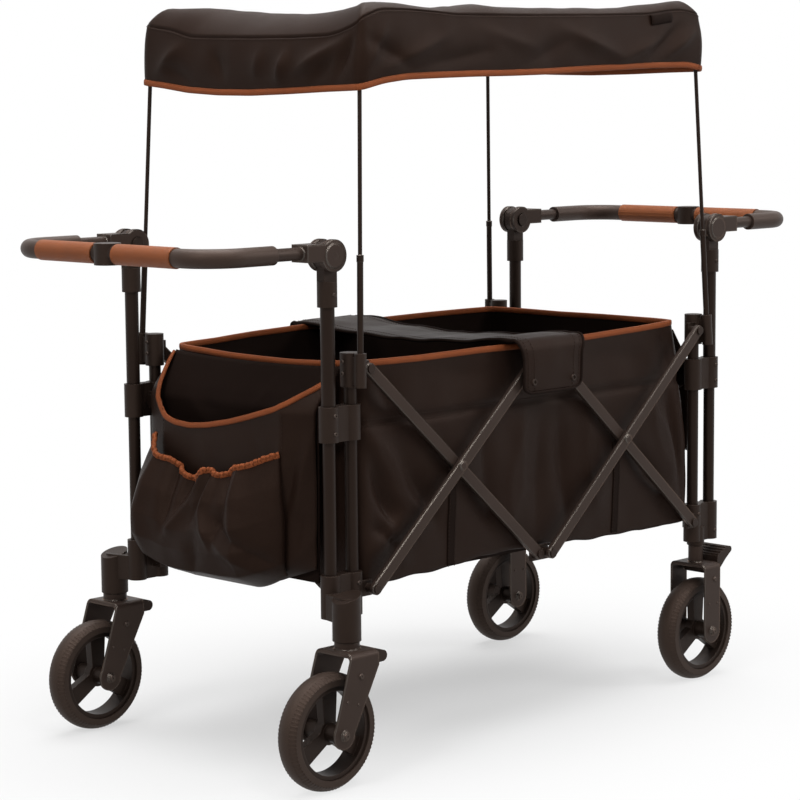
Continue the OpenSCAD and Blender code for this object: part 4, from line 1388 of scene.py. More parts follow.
    def top_rows(self, plan: Array, outward: Array, seam: Array, crown: Array) -> list[Array]:
        """Rows of the top panel from the seam in to its middle line.

        Args:
            plan: points of the outline.
            outward: their normals.
            seam: height of the seam at each.
            crown: how far the edge of the panel stands up at each.

        Returns:
            The rows.
        """
        spine = spine_of(plan, self.half)
        reach = np.linalg.norm(plan - spine, axis=1)
        rows = []
        for d in self.rings:
            share = np.clip(1 - d / reach, 0, 1)
            spot = spine + (plan - outward * self.lean - spine) * share[:, None]
            top = self.top(*spot.T) + crown * math.exp(-((d / self.crown_reach) ** 2))
            depth = np.maximum(top - seam, self.least_rise)
            roll = np.clip(d / (self.roll + depth * self.roll_share), 0, 1)
            z = seam + (top - seam) * np.sin(roll * math.pi / 2) ** self.roll_power
            z = z + self.top_slack.at(raised(spot, z)) * min(1, d / self.slack_reach)
            rows.append(raised(spot, z))
        return rows

    def build(self) -> list[Piece]:
        """Sews the canopy.

        Returns:
            The cloth, its binding, its stitches and the blank tag.
        """
        plan, outward = rounded_plan(self.half, self.corner, self.step)
        hem = around(plan, self.half, (self.hem_front, self.hem_rear, self.hem_near, self.hem_far))
        seam = around(plan, self.half, (self.seam_front, self.seam_rear, self.seam_near, self.seam_far))
        crown = around(plan, self.half, (self.crown_front, self.crown_rear, self.crown_near, self.crown_far))
        rows = self.skirt_rows(plan, outward, hem, seam) + self.top_rows(plan, outward, seam, crown)
        grid = np.array(rows)
        seam_row = len(self.skirt) - 1
        grid[seam_row, :, :2] -= outward * self.groove
        run = lengths(grid, 1)
        uv = np.stack([np.broadcast_to(run[0], run.shape), lengths(grid, 0)], 2)
        uv[seam_row:] = grid[seam_row:, :, :2]
        body = welded(cloth("canopy_cloth", grid, self.cloth_t, Finishes.CANOPY, True, uv))
        edge = grid[0] + [0, 0, self.tape_up]
        binding = sweep("canopy_binding", edge, (0, 0, 1), oval(*self.tape), Finishes.BINDING, True)
        out = raised(outward, 0) * self.thread_out
        lines = [looped(grid[row] + out) for row in (seam_row - 2, 1)]
        thread = self.shop.sew("canopy_stitches", lines, Finishes.THREAD, Stitches.HEM)
        tag = self.tag(grid[seam_row])
        return [body, binding, thread, tag]

    def tag(self, seam: Array) -> Piece:
        """A blank woven tag sewn into the seam of the near side.

        Args:
            seam: points of the seam.

        Returns:
            The tag.
        """
        low, high = self.tag_x
        line = seam[(seam[:, 0] > low) & (seam[:, 0] < high) & (seam[:, 1] < 0)]
        rows = [line + [0, -self.tag_out - self.tag_bow * math.sin(t * self.tag_turn), -self.tag_drop * t]
                for t in np.linspace(0, 1, 6)[::-1]]
        return cloth("canopy_tag", np.array(rows), self.tag_t, Finishes.WEBBING)


@dataclass
class Basket:
    """Cloth tub hung in the frame, with its rim binding, webbing and floor mat."""

    shop: Workshop
    half: Pair = (0.392, 0.229)
    corner: float = 0.014
    floor: float = 0.2815
    rim: float = 0.6235
    wall: float = 0.004
    step: float = 0.0055
    wall_rows: int = 48
    hidden_rows: int = 2
    floor_rings: tuple[float, ...] = (0, 0.3, 0.6, 0.9, 0.97)
    floor_round: int = 8
    floor_overlap: float = 0.001
    seam: float = 0.527
    seam_depth: float = 0.0055
    seam_gap: float = 0.0045
    belly: float = 0.004
    slack: Slack = Slack(0.0022, 17, 5.7)
    rim_grip: float = 0.03
    floor_grip: float = 0.02
    tight_share: float = 0.9
    corner_grip: float = 0.03
    corner_share: float = 0.6
    tied: Pair = (0.0215, 0.0175)
    end_room: float = 0.012
    side_room: float = 0.0065
    plate_room: float = 0.0008
    mid_plate: float = 0.035
    end_plate: Pair = (0.39, 0.03)
    plate_levels: tuple[float, ...] = (0.281, 0.612)
    plate_tall: float = 0.03
    hem_lift: float = 0.012
    hem_lift_x: Pair = (-0.05, 0.16)
    hem_wave: float = 0.002
    hem_turns: Pair = (60, 23)
    tape: Pair = (0.0072, 0.0102)
    tape_down: float = 0.002
    webs: tuple[float, ...] = (-0.2, 0.195)
    web_half: float = 0.0085
    web_seam: float = 0.0066
    web_top: float = 0.440
    web_foot: float = 0.006
    web_t: float = 0.001
    web_out: float = 0.0012
    thread_out: float = 0.0004
    mat_share: Triple = (0.992, 0.987, 0.8)
    mat_grain: float = 0.006
    mat_pressure: float = 4.0
    mat_frames: int = 14
    mat_swell: float = 0.006
    mat_fill: float = 0.5
    channel_x: tuple[float, ...] = (*np.linspace(-0.28, 0.28, 5),)
    channel: float = 0.006
    folded: float = 0.189
    folded_fall: float = 0.0125
    rim_front: Table = ((-225, 618), (-137, 614), (-75, 612), (-7, 612), (63, 613), (135, 616), (225, 617))
    rim_rear: Table = ((-225, 626), (-122, 625), (-32, 625), (61, 624), (225, 626))
    rim_near: Table = ((-392, 618), (-265, 618), (-131, 620), (0, 619), (58, 619), (209, 623), (368, 626),
                       (392, 627))
    rim_far: Table = ((-392, 617), (-289, 618), (-200, 622), (-87, 625), (0, 623), (209, 625), (392, 626))
    near: Folds = (
        (-388, 515, -300, 420, 16, 12), (-375, 475, -320, 345, 15, -16), (-310, 470, -230, 360, 18, -12),
        (-385, 330, -270, 390, 14, 11), (-360, 400, -300, 310, 13, 10), (-345, 430, -260, 370, 10, 8),
        (-370, 370, -310, 330, 10, -12), (-30, 510, -65, 330, 18, 8), (55, 500, 75, 330, 20, -12),
        (10, 490, 0, 330, 24, -10), (120, 500, 150, 340, 20, 8), (300, 490, 365, 360, 16, 10),
        (240, 430, 335, 315, 16, -13), (350, 515, 378, 330, 12, -15), (270, 360, 370, 310, 12, 10),
        (-130, 500, -110, 340, 20, -8), (-250, 600, -100, 580, 30, -5), (100, 600, 300, 575, 30, -5),
        (-360, 600, -330, 540, 18, -7), (330, 600, 365, 540, 16, -8))
    end: Folds = (
        (-150, 500, -100, 320, 22, 7), (150, 500, 90, 330, 22, 7), (20, 460, 0, 320, 26, -6),
        (-60, 600, 70, 590, 30, -4))

    def room(self, x: Array, z: Array, on_end: Array) -> Array:
        """How far the wall may stand out before it meets a bar, or a bracket's plate.

        Args:
            x: places along the wagon.
            z: heights.
            on_end: which of them are on the front or rear wall.

        Returns:
            The room at each point.
        """
        along = np.abs(x)
        plates = bell(along, 0, self.mid_plate, 4) + bell(along, *self.end_plate, 4)
        low, high = self.plate_levels
        plates *= bell(z, low, self.plate_tall, 4) + bell(z, high, self.plate_tall, 4)
        side = self.side_room * (1 - np.clip(plates, 0, 1)) + self.plate_room
        return np.where(on_end, self.end_room, side)

    def wave(self, plan: Array, z: Array) -> Array:
        """How far the wall stands out, kept clear of the bars and brackets.

        Args:
            plan: points of the outline.
            z: their heights.

        Returns:
            The distance at each point.
        """
        x, y = plan.T
        gap_end, gap_side = edge_gaps(x, y, self.half)
        on_end = gap_end < gap_side
        side = np.where(y < 0, creased(self.near, x, z), creased(self.near, -x, z))
        end = creased(self.end, y * np.sign(x), z)
        tall = np.clip((z - self.floor) / (self.seam - self.floor), 0, 1)
        out = np.where(on_end, end, side) + self.belly * np.sin(math.pi * tall)
        out += self.slack.at(raised(plan, z))
        out -= self.seam_depth * bell(z, self.seam, self.seam_gap)
        tight = bell(z, self.rim, self.rim_grip) + bell(z, self.floor, self.floor_grip)
        grip = self.corner_grip
        corner = np.clip(np.abs(x) - (self.half[0] - grip), 0, grip) / grip
        out *= np.clip(1 - self.tight_share * tight, 0, 1) * (1 - self.corner_share * corner * ~on_end)
        return np.minimum(out, self.room(x, z, on_end))

    def drawn(self, plan: Array, share: float) -> Array:
        """The outline with its corners drawn in by the brackets, from none at 0 to all at 1."""
        near = np.prod((np.abs(plan) / self.half) ** 4, axis=1)
        return plan - np.sign(plan) * near[:, None] * self.tied * share

    def hem_line(self, plan: Array) -> Array:
        """Height of the lower edge, lifted a little where the floor is drawn up.

        Args:
            plan: points of the outline.

        Returns:
            The heights.
        """
        x, y = plan.T
        gap_end, gap_side = edge_gaps(x, y, self.half)
        fine, slow = self.hem_turns
        wave = self.hem_wave * np.sin(x * fine) * np.cos(x * slow)
        lift = self.hem_lift * bell(x, *self.hem_lift_x) + wave
        return self.floor + np.where(gap_end > gap_side, np.maximum(lift, 0), 0)

    def build(self) -> list[Piece]:
        """Sews the tub: under the floor, up the outside, over the rim, down the inside and along the floor.

        Returns:
            The tub, its binding, webbing and stitches.
        """
        plan, outward = rounded_plan(self.half, self.corner, self.step)
        rim = around(plan, self.half, (self.rim_front, self.rim_rear, self.rim_near, self.rim_far))
        hem = self.hem_line(plan)
        spine = spine_of(plan, self.half)
        outer = []
        for t in np.linspace(0, 1, self.wall_rows):
            z = hem + (rim - hem) * t
            outer.append(raised(self.drawn(plan, t ** 2) + outward * self.wave(plan, z)[:, None], z))
        inner = [row - raised(outward * self.wall, 0) for row in outer[:self.hidden_rows - 1:-1]]
        under = [raised(spine + (plan - spine) * f, self.floor + (hem - self.floor) * f ** self.floor_round)
                 for f in self.floor_rings]
        inside = plan - outward * self.wall
        deck = [raised(spine + (inside - spine) * f, self.floor + self.wall - self.floor_overlap)
                for f in self.floor_rings[::-1]]
        grid = np.array(under + outer + inner + deck)
        tub = self.tub(grid, outer[0], len(under) + len(outer))
        edge = outer[-1] - raised(outward * self.wall / 2, self.tape_down)
        binding = sweep("basket_binding", edge, (0, 0, 1), oval(*self.tape), Finishes.BINDING, True)
        webbing, thread = self.webbing(), self.stitches(plan, outward)
        return [tub, binding, webbing, thread]

    def tub(self, grid: Array, foot: Array, lined_from: int) -> Piece:
        """Makes the tub of its rows; its inside takes a darker cloth, painted for shade.

        Args:
            grid: rows x columns x 3, outside first.
            foot: the lowest row of the outside.
            lined_from: first row of the inside, which takes the darker cloth painted for shade.

        Returns:
            The tub.
        """
        run = np.broadcast_to(lengths(foot[None], 1), grid.shape[:2])
        uv = np.stack([run, lengths(grid, 0)], 2)
        index = np.arange(run.size).reshape(run.shape)
        quads = quads_of(index, True)
        piece = made("basket_tub", grid.reshape(-1, 3), quads.tolist(), Finishes.BASKET, uv.reshape(-1, 2))
        # Painted shade: the inside of the tub takes the darker cloth.
        piece.data.materials.append(Finishes.LINING.material())
        lined = np.arange(len(quads)) >= lined_from * run.shape[1]
        piece.data.polygons.foreach_set("material_index", lined.astype(np.int32))
        return welded(piece)

    def strip(self, x: float, side: int, half: float) -> Array:
        """Grid of a webbing strip up the outside of a wall.

        Args:
            x: its place along the wagon.
            side: -1 for left, 1 for right.
            half: half its width.

        Returns:
            Rows x columns x 3.
        """
        count = 5
        plan = np.stack([x + np.linspace(-half, half, count), np.full(count, side * self.half[1])], 1)
        rows = []
        for level in np.linspace(self.floor + self.web_foot, self.web_top, 28):
            out = self.wave(plan, np.full(count, level)) + self.web_out
            rows.append(np.stack([plan[:, 0], side * (self.half[1] + out), np.full(count, level)], 1))
        grid = np.array(rows)
        return grid if side < 0 else grid[:, ::-1]

    def webbing(self) -> Piece:
        """Upright webbing strips under the crossings of the bars.

        Returns:
            The strips, joined.
        """
        strips = [cloth("strip", self.strip(x, side, self.web_half), self.web_t, Finishes.WEBBING)
                  for x in self.webs for side in (-1, 1)]
        return joined("basket_webbing", strips)

    def stitches(self, plan: Array, outward: Array) -> Piece:
        """Rows on both sides of the seam and along both edges of the webbing.

        Args:
            plan: points of the outline.
            outward: their normals.

        Returns:
            The stitches.
        """
        lines = []
        for z in (self.seam - self.seam_gap, self.seam + self.seam_gap):
            level = np.full(len(plan), z)
            out = self.wave(plan, level) + self.thread_out
            share = ((z - self.floor) / (self.rim - self.floor)) ** 2
            lines.append(looped(raised(self.drawn(plan, share) + outward * out[:, None], level)))
        for x in self.webs:
            for side in (-1, 1):
                grid = self.strip(x, side, self.web_seam) + [0, side * self.thread_out, 0]
                lines += [grid[:, 0], grid[:, -1]]
        return self.shop.sew("basket_stitches", lines, Finishes.THREAD, Stitches.SEAM)

    def mat(self, node: Piece) -> Piece:
        """Padded floor mat, swollen by cloth pressure from its solid, then sewn in channels.

        Args:
            node: the mat's solid.

        Returns:
            The mat.
        """
        piece = welded(placed("floor_mat_pad", node.data.copy()), 1e-4)
        points = points_of(piece.data)
        middle = (points.min(0) + points.max(0)) / 2
        move_points(piece.data, middle + (points - middle) * self.mat_share)
        remesh = piece.modifiers.new("even", "REMESH")
        remesh.mode, remesh.voxel_size = "VOXEL", self.mat_grain
        keep(piece)
        self.puff(piece)
        self.channels(piece)
        return piece

    def puff(self, piece: Piece) -> None:
        """Swells the mat by a short cloth simulation, up to its greatest swell.

        Args:
            piece: the mat.
        """
        rest = points_of(piece.data)
        puff = piece.modifiers.new("puff", "CLOTH")
        puff.settings.use_pressure = True
        puff.settings.uniform_pressure_force = self.mat_pressure
        puff.settings.effector_weights.gravity = 0.0
        puff.collision_settings.use_collision = False
        scene = bpy.context.scene
        for frame in range(1, self.mat_frames + 1):
            scene.frame_set(frame)
        keep(piece)
        scene.frame_set(1)
        moved = points_of(piece.data) - rest
        far = np.linalg.norm(moved, axis=1, keepdims=True)
        moved *= np.minimum(1, self.mat_swell / np.maximum(far, TINY))
        move_points(piece.data, rest + moved)

    def channels(self, piece: Piece) -> None:
        """Presses sewn channels into the mat and lays its UV map and finish.

        Args:
            piece: the mat.
        """
        mesh = piece.data
        points = points_of(mesh)
        low = points[:, 2].min()
        for x in self.channel_x:
            dip = bell(points[:, 0], x, self.channel) * self.channel
            points[:, 2] -= np.where(points[:, 2] > low + self.channel, dip, 0)
        points[:, 2] = np.maximum(points[:, 2], self.floor + self.wall)
        move_points(mesh, points)
        map_cloth(mesh, points[:, :2])
        smooth(mesh)
        # Painted shade: the mat inside the tub takes the darker cloth.
        mesh.materials.clear()
        mesh.materials.append(Finishes.LINING.material())


@dataclass
class CentreCover:
    """Padded cloth band over both rims, with a snapped flap down each side."""

    shop: Workshop
    half_rim: float = 0.078
    half_flap: float = 0.069
    low: float = 0.546
    top: float = 0.6305
    out: float = 0.2645
    bend: float = 0.014
    bend_end: float = 0.018
    flap_bow: float = 0.002
    flap_turn: float = 35
    flap_taper: float = 3.2
    flap_corner: float = 0.016
    flap_y: float = 0.24
    sag: float = 0.013
    sag_half: float = 0.222
    sag_wave: float = 0.0012
    sag_turn: float = 55
    cloth_t: float = 0.0032
    puff: float = 0.0024
    slack: Slack = Slack(0.0012, 26, 4.4)
    columns: int = 33
    seams: tuple[int, ...] = (2, 5, 27, 30)
    thread_out: float = 0.0004
    cord: float = 0.0052
    snap_x: float = 0.047
    snap_up: float = 0.017
    snap_out: float = 0.0025
    snap_r: float = 0.0062
    folded: float = 0.75

    def profile(self) -> Array:
        """Path of the band from the left flap's end to the right one's.

        Returns:
            Points as (y, z).
        """
        shoulder = self.top - self.bend
        left = [(-self.out - self.flap_bow * math.sin((z - self.low) * self.flap_turn), z)
                for z in np.linspace(self.low, shoulder, 16)]
        bend = [(-self.out + self.bend * (1 - math.cos(a)), shoulder + self.bend * math.sin(a))
                for a in np.linspace(0.2, math.pi / 2, 6)]
        over = []
        for y in np.linspace(-self.out + self.bend_end, 0, 34):
            sag = self.sag * max(0, 1 - (y / self.sag_half) ** 2)
            over.append((y, self.top - sag + self.sag_wave * math.sin(y * self.sag_turn)))
        half = np.array(left + bend + over)
        return np.concatenate([half, half[-2::-1] * [-1, 1]])

    def widths(self, path: Array) -> Array:
        """Half the width of the band along its path, with rounded corners on the flaps.

        Args:
            path: points as (y, z).

        Returns:
            One half width for each point.
        """
        y, z = path.T
        fall = np.clip((self.top - z) / (self.top - self.low), 0, 1)
        half = self.half_rim + (self.half_flap - self.half_rim) * np.minimum(fall * self.flap_taper, 1)
        radius, near_end = self.flap_corner, z - self.low
        arc = np.sqrt(np.maximum(radius ** 2 - (radius - near_end) ** 2, 0))
        bite = np.where(near_end < radius, radius - arc, 0)
        return half - np.where(np.abs(y) > self.flap_y, bite, 0)

    def build(self) -> list[Piece]:
        """Sews the cover.

        Returns:
            The band, its edge cord, its stitches and its snaps.
        """
        path = self.profile()
        across = np.linspace(-1, 1, self.columns)
        grid = np.zeros((len(path), self.columns, 3))
        grid[:, :, 0] = self.widths(path)[:, None] * across
        grid[:, :, 1:] = path[:, None]
        puff = self.puff * (1 - np.abs(across) ** 4) + self.slack.at(grid)
        grid += normals_of(grid, False) * puff[:, :, None]
        body = cloth("centre_cover_band", grid, self.cloth_t, Finishes.BASKET)
        ring = np.concatenate([grid[:, 0], grid[-1, 1:], grid[::-1, -1][1:], grid[0, ::-1][1:-1]])
        section = oval(self.cord, self.cord, 8, 1.0)
        cord = sweep("centre_cover_edge", ring, (0, 0.2, 1), section, Finishes.WEBBING, True)
        above = grid + normals_of(grid, False) * self.thread_out
        rows = [above[:, column] for column in self.seams]
        thread = self.shop.sew("centre_cover_stitches", rows, Finishes.THREAD, Stitches.SEAM)
        y, z = self.out + self.snap_out, self.low + self.snap_up
        spots = [((x, side * y, z), (0, side, 0), self.snap_r)
                 for x in (-self.snap_x, self.snap_x) for side in (-1, 1)]
        snaps = self.shop.fasten("centre_cover_snaps", spots, Finishes.PLASTIC, Heads.SNAP)
        return [body, cord, thread, snaps]


@dataclass(frozen=True)
class EndPanel:
    """Upright cloth of an end, which leans in at a knee and is sewn to the basket's rim."""

    top: float
    back: float = 0.4405
    foot: float = 0.27
    knee: Pair = (0.545, 0.565)
    knee_in: float = 0.010
    rim_x: float = 0.3985
    cloth_t: float = 0.0024

    def line(self, z: Array) -> Array:
        """Distance of the panel from the middle of the wagon at heights."""
        places = [self.back, self.back, self.back - self.knee_in, self.rim_x]
        return np.interp(z, [self.foot, *self.knee, self.top], places)


@dataclass
class FrontPockets:
    """End panel, open pocket with a bound mouth, and the gathered pouch in front of it."""

    shop: Workshop
    end: EndPanel = EndPanel(0.614)
    half: float = 0.196
    right: float = 0.185
    crease: float = 0.134
    rim_tie: float = 0.0205
    rim_half: float = 0.229
    tie_from: float = 0.555
    tie_over: float = 0.05
    panel_low: float = 0.288
    panel_top: float = 0.612
    panel_sag: float = 0.004
    panel_wave: float = 0.003
    panel_turn: float = 40
    pocket_gap: float = 0.003
    pocket_round: float = 0.8
    pocket_swell: float = 0.006
    swell_turn: float = 1.3
    swell_z: Pair = (0.46, 0.08)
    pocket_slack: Slack = Slack(0.0015, 20, 2.2)
    pocket_tuck: Triple = (0.08, 0.006, 0.004)
    pocket_tape: Pair = (0.0088, 0.0052)
    pouch_low: float = 0.274
    pouch_left: float = 0.142
    pouch_lift: float = 0.026
    pouch_low_round: float = 1.6
    pouch_gap: float = 0.004
    pouch_depth: Pair = (0.006, 0.046)
    pouch_spill: Pair = (0.044, 0.012)
    pouch_ends: Pair = (0.16, 0.42)
    pouch_end_round: float = 0.55
    pouch_fold_hold: float = 1.5
    pouch_slack: Slack = Slack(0.0015, 22, 6.1)
    pouch_tuck: Triple = (0.10, 0.020, 0.004)
    pouch_t: float = 0.0022
    trim_tape: Pair = (0.0098, 0.0072)
    crinkles: tuple[Triple, ...] = ((0.0011, 260, 0), (0.0008, 143, 1))
    crinkle_up: float = 0.6
    thread_z: Pair = (0.30, 0.54)
    thread_off: float = 0.003
    thread_out: float = 0.0006
    lean: Table = ((280, 22), (400, 26), (520, 24), (600, 30))
    belly: tuple[Pair, ...] = ((0, 0.30), (0.1, 0.78), (0.3, 1.0), (0.5, 0.98), (0.75, 0.68), (1, 0.22))
    mouth: Table = ((-185, 594), (-170, 579), (-144, 560), (-123, 549), (-67, 533), (-19, 521), (30, 512),
                    (71, 508), (108, 510), (130, 516), (148, 531), (163, 553), (178, 581), (190, 602),
                    (197, 611))
    trim: Table = ((-134, 482), (-115, 475), (-89, 463), (-62, 457), (-49, 448), (-25, 441), (-6, 449),
                   (6, 447), (24, 429), (49, 430), (71, 441), (89, 455), (112, 457), (128, 468), (142, 488))
    under: Table = ((-197, 318), (-185, 314), (-160, 305), (-135, 297), (-105, 286), (0, 282), (130, 284),
                    (197, 294))
    folds: Folds = (
        (78, 480, 81, 350, 10, -13), (34, 455, 62, 368, 12, -13), (-4, 468, 30, 395, 10, 11),
        (30, 398, 78, 342, 11, 9), (-12, 452, 16, 368, 7, -7), (-21, 460, -3, 386, 9, 8),
        (-3, 392, -29, 332, 10, 7), (-40, 466, -54, 392, 9, -10), (-53, 398, -36, 342, 10, -8),
        (-74, 485, -72, 392, 15, 9), (-72, 400, -88, 322, 16, 6), (-40, 376, -103, 334, 10, -8),
        (-98, 337, -148, 306, 10, -6), (-25, 352, -120, 298, 12, 6), (122, 480, 142, 370, 20, 7),
        (142, 380, 132, 300, 20, 5), (183, 327, 135, 282, 10, -6), (23, 285, 6, 343, 12, -6))
    facet: Folds = (
        (-133, 492, -120, 395, 8, 4), (-181, 520, -157, 400, 9, 6), (-154, 480, -138, 378, 9, -6),
        (-129, 298, -190, 362, 10, 5), (-165, 400, -150, 320, 10, -5), (50, 500, 20, 450, 20, 3),
        (-60, 520, -100, 470, 16, -3))
    inside: Folds = (
        (130, 575, 68, 512, 13, 5), (-8, 600, 18, 566, 11, -4), (-84, 595, -40, 540, 14, 5),
        (100, 550, 30, 530, 12, -4))

    def panel_u(self, y: Array, z: Array) -> Array:
        """Distance of the end panel from the middle; its top follows the rim into the corners."""
        share = np.clip((z - self.tie_from) / self.tie_over, 0, 1)
        return self.end.line(z) - self.rim_tie * np.abs(y / self.rim_half) ** 4 * share

    def panel(self) -> Piece:
        """Sews the back panel from the basket's rim down behind the pocket.

        Returns:
            The panel.
        """
        y = np.linspace(self.half, -self.right, 80)
        top = self.panel_top - self.panel_sag * (1 - (y / self.half) ** 2)
        rows = []
        for t in np.linspace(0, 1, 60):
            z = self.panel_low + (top - self.panel_low) * t
            slack = self.panel_wave * np.sin(y * self.panel_turn) * t + creased(self.inside, y, z)
            rows.append(np.stack([-(self.panel_u(y, z) + slack * math.sin(math.pi * t)), y, z], 1))
        grid = np.array(rows)
        # Painted shade: the panel inside the pocket's mouth takes the darker cloth.
        piece = cloth("front_panel", grid, self.end.cloth_t, Finishes.LINING)
        return piece

    def front_u(self, y: Array, z: Array) -> Array:
        """Distance of the pocket's front from the middle of the wagon.

        Args:
            y: places across the wagon.
            z: heights.

        Returns:
            The distance at each point.
        """
        edge = np.where(y > 0, self.half, self.right)
        flat = np.clip((edge - np.abs(y)) / (edge - self.crease), 0, 1)
        level, stand = np.array(self.lean).T / MM
        lean = np.interp(z, level, stand)
        arch = np.cos(y / self.crease * self.swell_turn).clip(0)
        swell = self.pocket_swell * arch * bell(z, *self.swell_z)
        return self.panel_u(y, z) + self.pocket_gap + lean * flat ** self.pocket_round + swell

    def pocket(self) -> list[Piece]:
        """Sews the front of the pocket.

        Returns:
            The front and the binding of its mouth.
        """
        tuck_over, tuck_in, tuck_down = self.pocket_tuck
        y = np.linspace(self.half, -self.right, 130)
        edge, under = table(self.mouth, y), table(self.under, y)
        rows = []
        for t in np.linspace(0, 1, 64):
            z = under + (edge - under) * t
            place = np.stack([y, np.zeros_like(y), z], 1)
            slack = creased(self.facet, y, z) + self.pocket_slack.at(place)
            u = self.front_u(y, z) + slack * math.sin(math.pi * t)
            tuck = np.clip(1 - t / tuck_over, 0, 1) ** 2
            u = u - tuck * (u - self.end.back - tuck_in)
            rows.append(np.stack([-u, y, z - tuck * tuck_down], 1))
        grid = np.array(rows)
        front = cloth("front_pocket_face", grid, self.end.cloth_t, Finishes.BASKET)
        section = oval(*self.pocket_tape)
        binding = sweep("front_pocket_binding", grid[-1], (1, 0, 0), section, Finishes.BINDING)
        return [front, binding]

    def pouch(self) -> list[Piece]:
        """Sews the gathered pouch, which bellies out under its elastic trim.

        Returns:
            The pouch and its trim.
        """
        tuck_over, tuck_in, tuck_down = self.pouch_tuck
        least, most = self.pouch_depth
        w = np.linspace(1, -1, 170)
        span = np.where(w > 0, self.pouch_left, self.crease)
        edge = table(self.trim, w * span)
        outer_half = np.clip(np.abs(w) - 0.5, 0, 0.5) / 0.5
        bottom = self.pouch_low + self.pouch_lift * outer_half ** self.pouch_low_round
        ends = np.clip((1 - np.abs(w)) / np.where(w > 0, *self.pouch_ends), 0, 1) ** self.pouch_end_round
        hold = np.clip(ends * self.pouch_fold_hold, 0, 1)
        spill = self.pouch_spill[0] * np.clip(w, 0, 1) ** 2 - self.pouch_spill[1] * np.clip(-w, 0, 1) ** 2
        rows = []
        for t in np.linspace(0, 1, 90):
            z = bottom + (edge - bottom) * t
            belly = float(np.interp(t, *np.array(self.belly).T))
            y = w * span + spill * belly
            place = np.stack([y, np.zeros_like(y), z], 1)
            slack = creased(self.folds, y, z) * hold + self.pouch_slack.at(place)
            u = self.front_u(w * span, z) + self.pouch_gap + (least + most * belly) * ends + slack
            tuck = max(0.0, 1 - t / tuck_over) ** 2
            u = u - tuck * (u - self.end.back - tuck_in)
            rows.append(np.stack([-u, y, z - tuck_down * tuck], 1))
        grid = np.array(rows)
        body = cloth("front_pouch_bag", grid, self.pouch_t, Finishes.BASKET)
        run = np.linspace(0, 1, len(w))
        crinkle = sum(height * np.sin(run * turns + start) for height, turns, start in self.crinkles)
        line = grid[-1] + np.stack([-crinkle, 0 * crinkle, crinkle * self.crinkle_up], 1)
        trim = sweep("front_pouch_trim", line, (1, 0, 0), oval(*self.trim_tape, 10, 0.8), Finishes.BINDING)
        return [body, trim]

    def stitches(self) -> Piece:
        """Rows along the pocket's creases.

        Returns:
            The stitches.
        """
        z = np.linspace(*self.thread_z, 60)
        lines = []
        for side in (-1, 1):
            y = np.full(len(z), side * (self.crease + self.thread_off))
            lines.append(np.stack([-(self.front_u(y, z) + self.thread_out), y, z], 1))
        return self.shop.sew("front_pocket_stitches", lines, Finishes.THREAD, Stitches.SEAM)


@dataclass
class RearPocket:
    """Short flat pocket on the rear end."""

    end: EndPanel = EndPanel(0.612)
    half: float = 0.190
    low: float = 0.394
    panel_up: float = 0.006
    panel_top: float = 0.603
    panel_wave: float = 0.002
    panel_turns: Pair = (33, 4)
    mouth: float = 0.502
    mouth_rise: float = 0.02
    seam: float = 0.03
    depth: Pair = (0.004, 0.017)
    bulge: Pair = (0.12, 0.70)
    roundness: float = 0.7
    noise_y: float = 3
    slack: Slack = Slack(0.0022, 20, 1.2)
    tape: Pair = (0.0088, 0.0052)

    def build(self) -> list[Piece]:
        """Sews the panel, the pocket and its binding.

        Returns:
            The pieces.
        """
        least, most = self.depth
        y = np.linspace(-self.half, self.half, 60)
        top = self.mouth + self.mouth_rise * np.abs(y / self.half) ** 4
        flat = np.clip((self.half - np.abs(y)) / self.seam, 0, 1) ** self.roundness
        across, up = self.panel_turns
        start, rise = self.bulge
        panel, face = [], []
        for t in np.linspace(0, 1, 40):
            z = self.low + self.panel_up + (self.panel_top - self.low) * t
            wave = self.panel_wave * np.sin(y * across + up * t)
            panel.append(np.stack([self.end.line(z) + wave, y, np.full(len(y), z)], 1))
            z = self.low + (top - self.low) * t
            depth = least + most * flat * math.sin(math.pi * (start + rise * t)) ** self.roundness
            place = np.stack([y, np.full_like(y, self.noise_y), z], 1)
            u = self.end.back + depth + self.slack.at(place) * math.sin(math.pi * t)
            face.append(np.stack([u, y, z], 1))
        panel, face = np.array(panel), np.array(face)
        back = cloth("rear_panel", panel, self.end.cloth_t, Finishes.BASKET)
        front = cloth("rear_pocket_face", face, self.end.cloth_t, Finishes.BASKET)
        binding = sweep("rear_pocket_binding", face[-1], (-1, 0, 0), oval(*self.tape), Finishes.BINDING)
        return [back, front, binding]


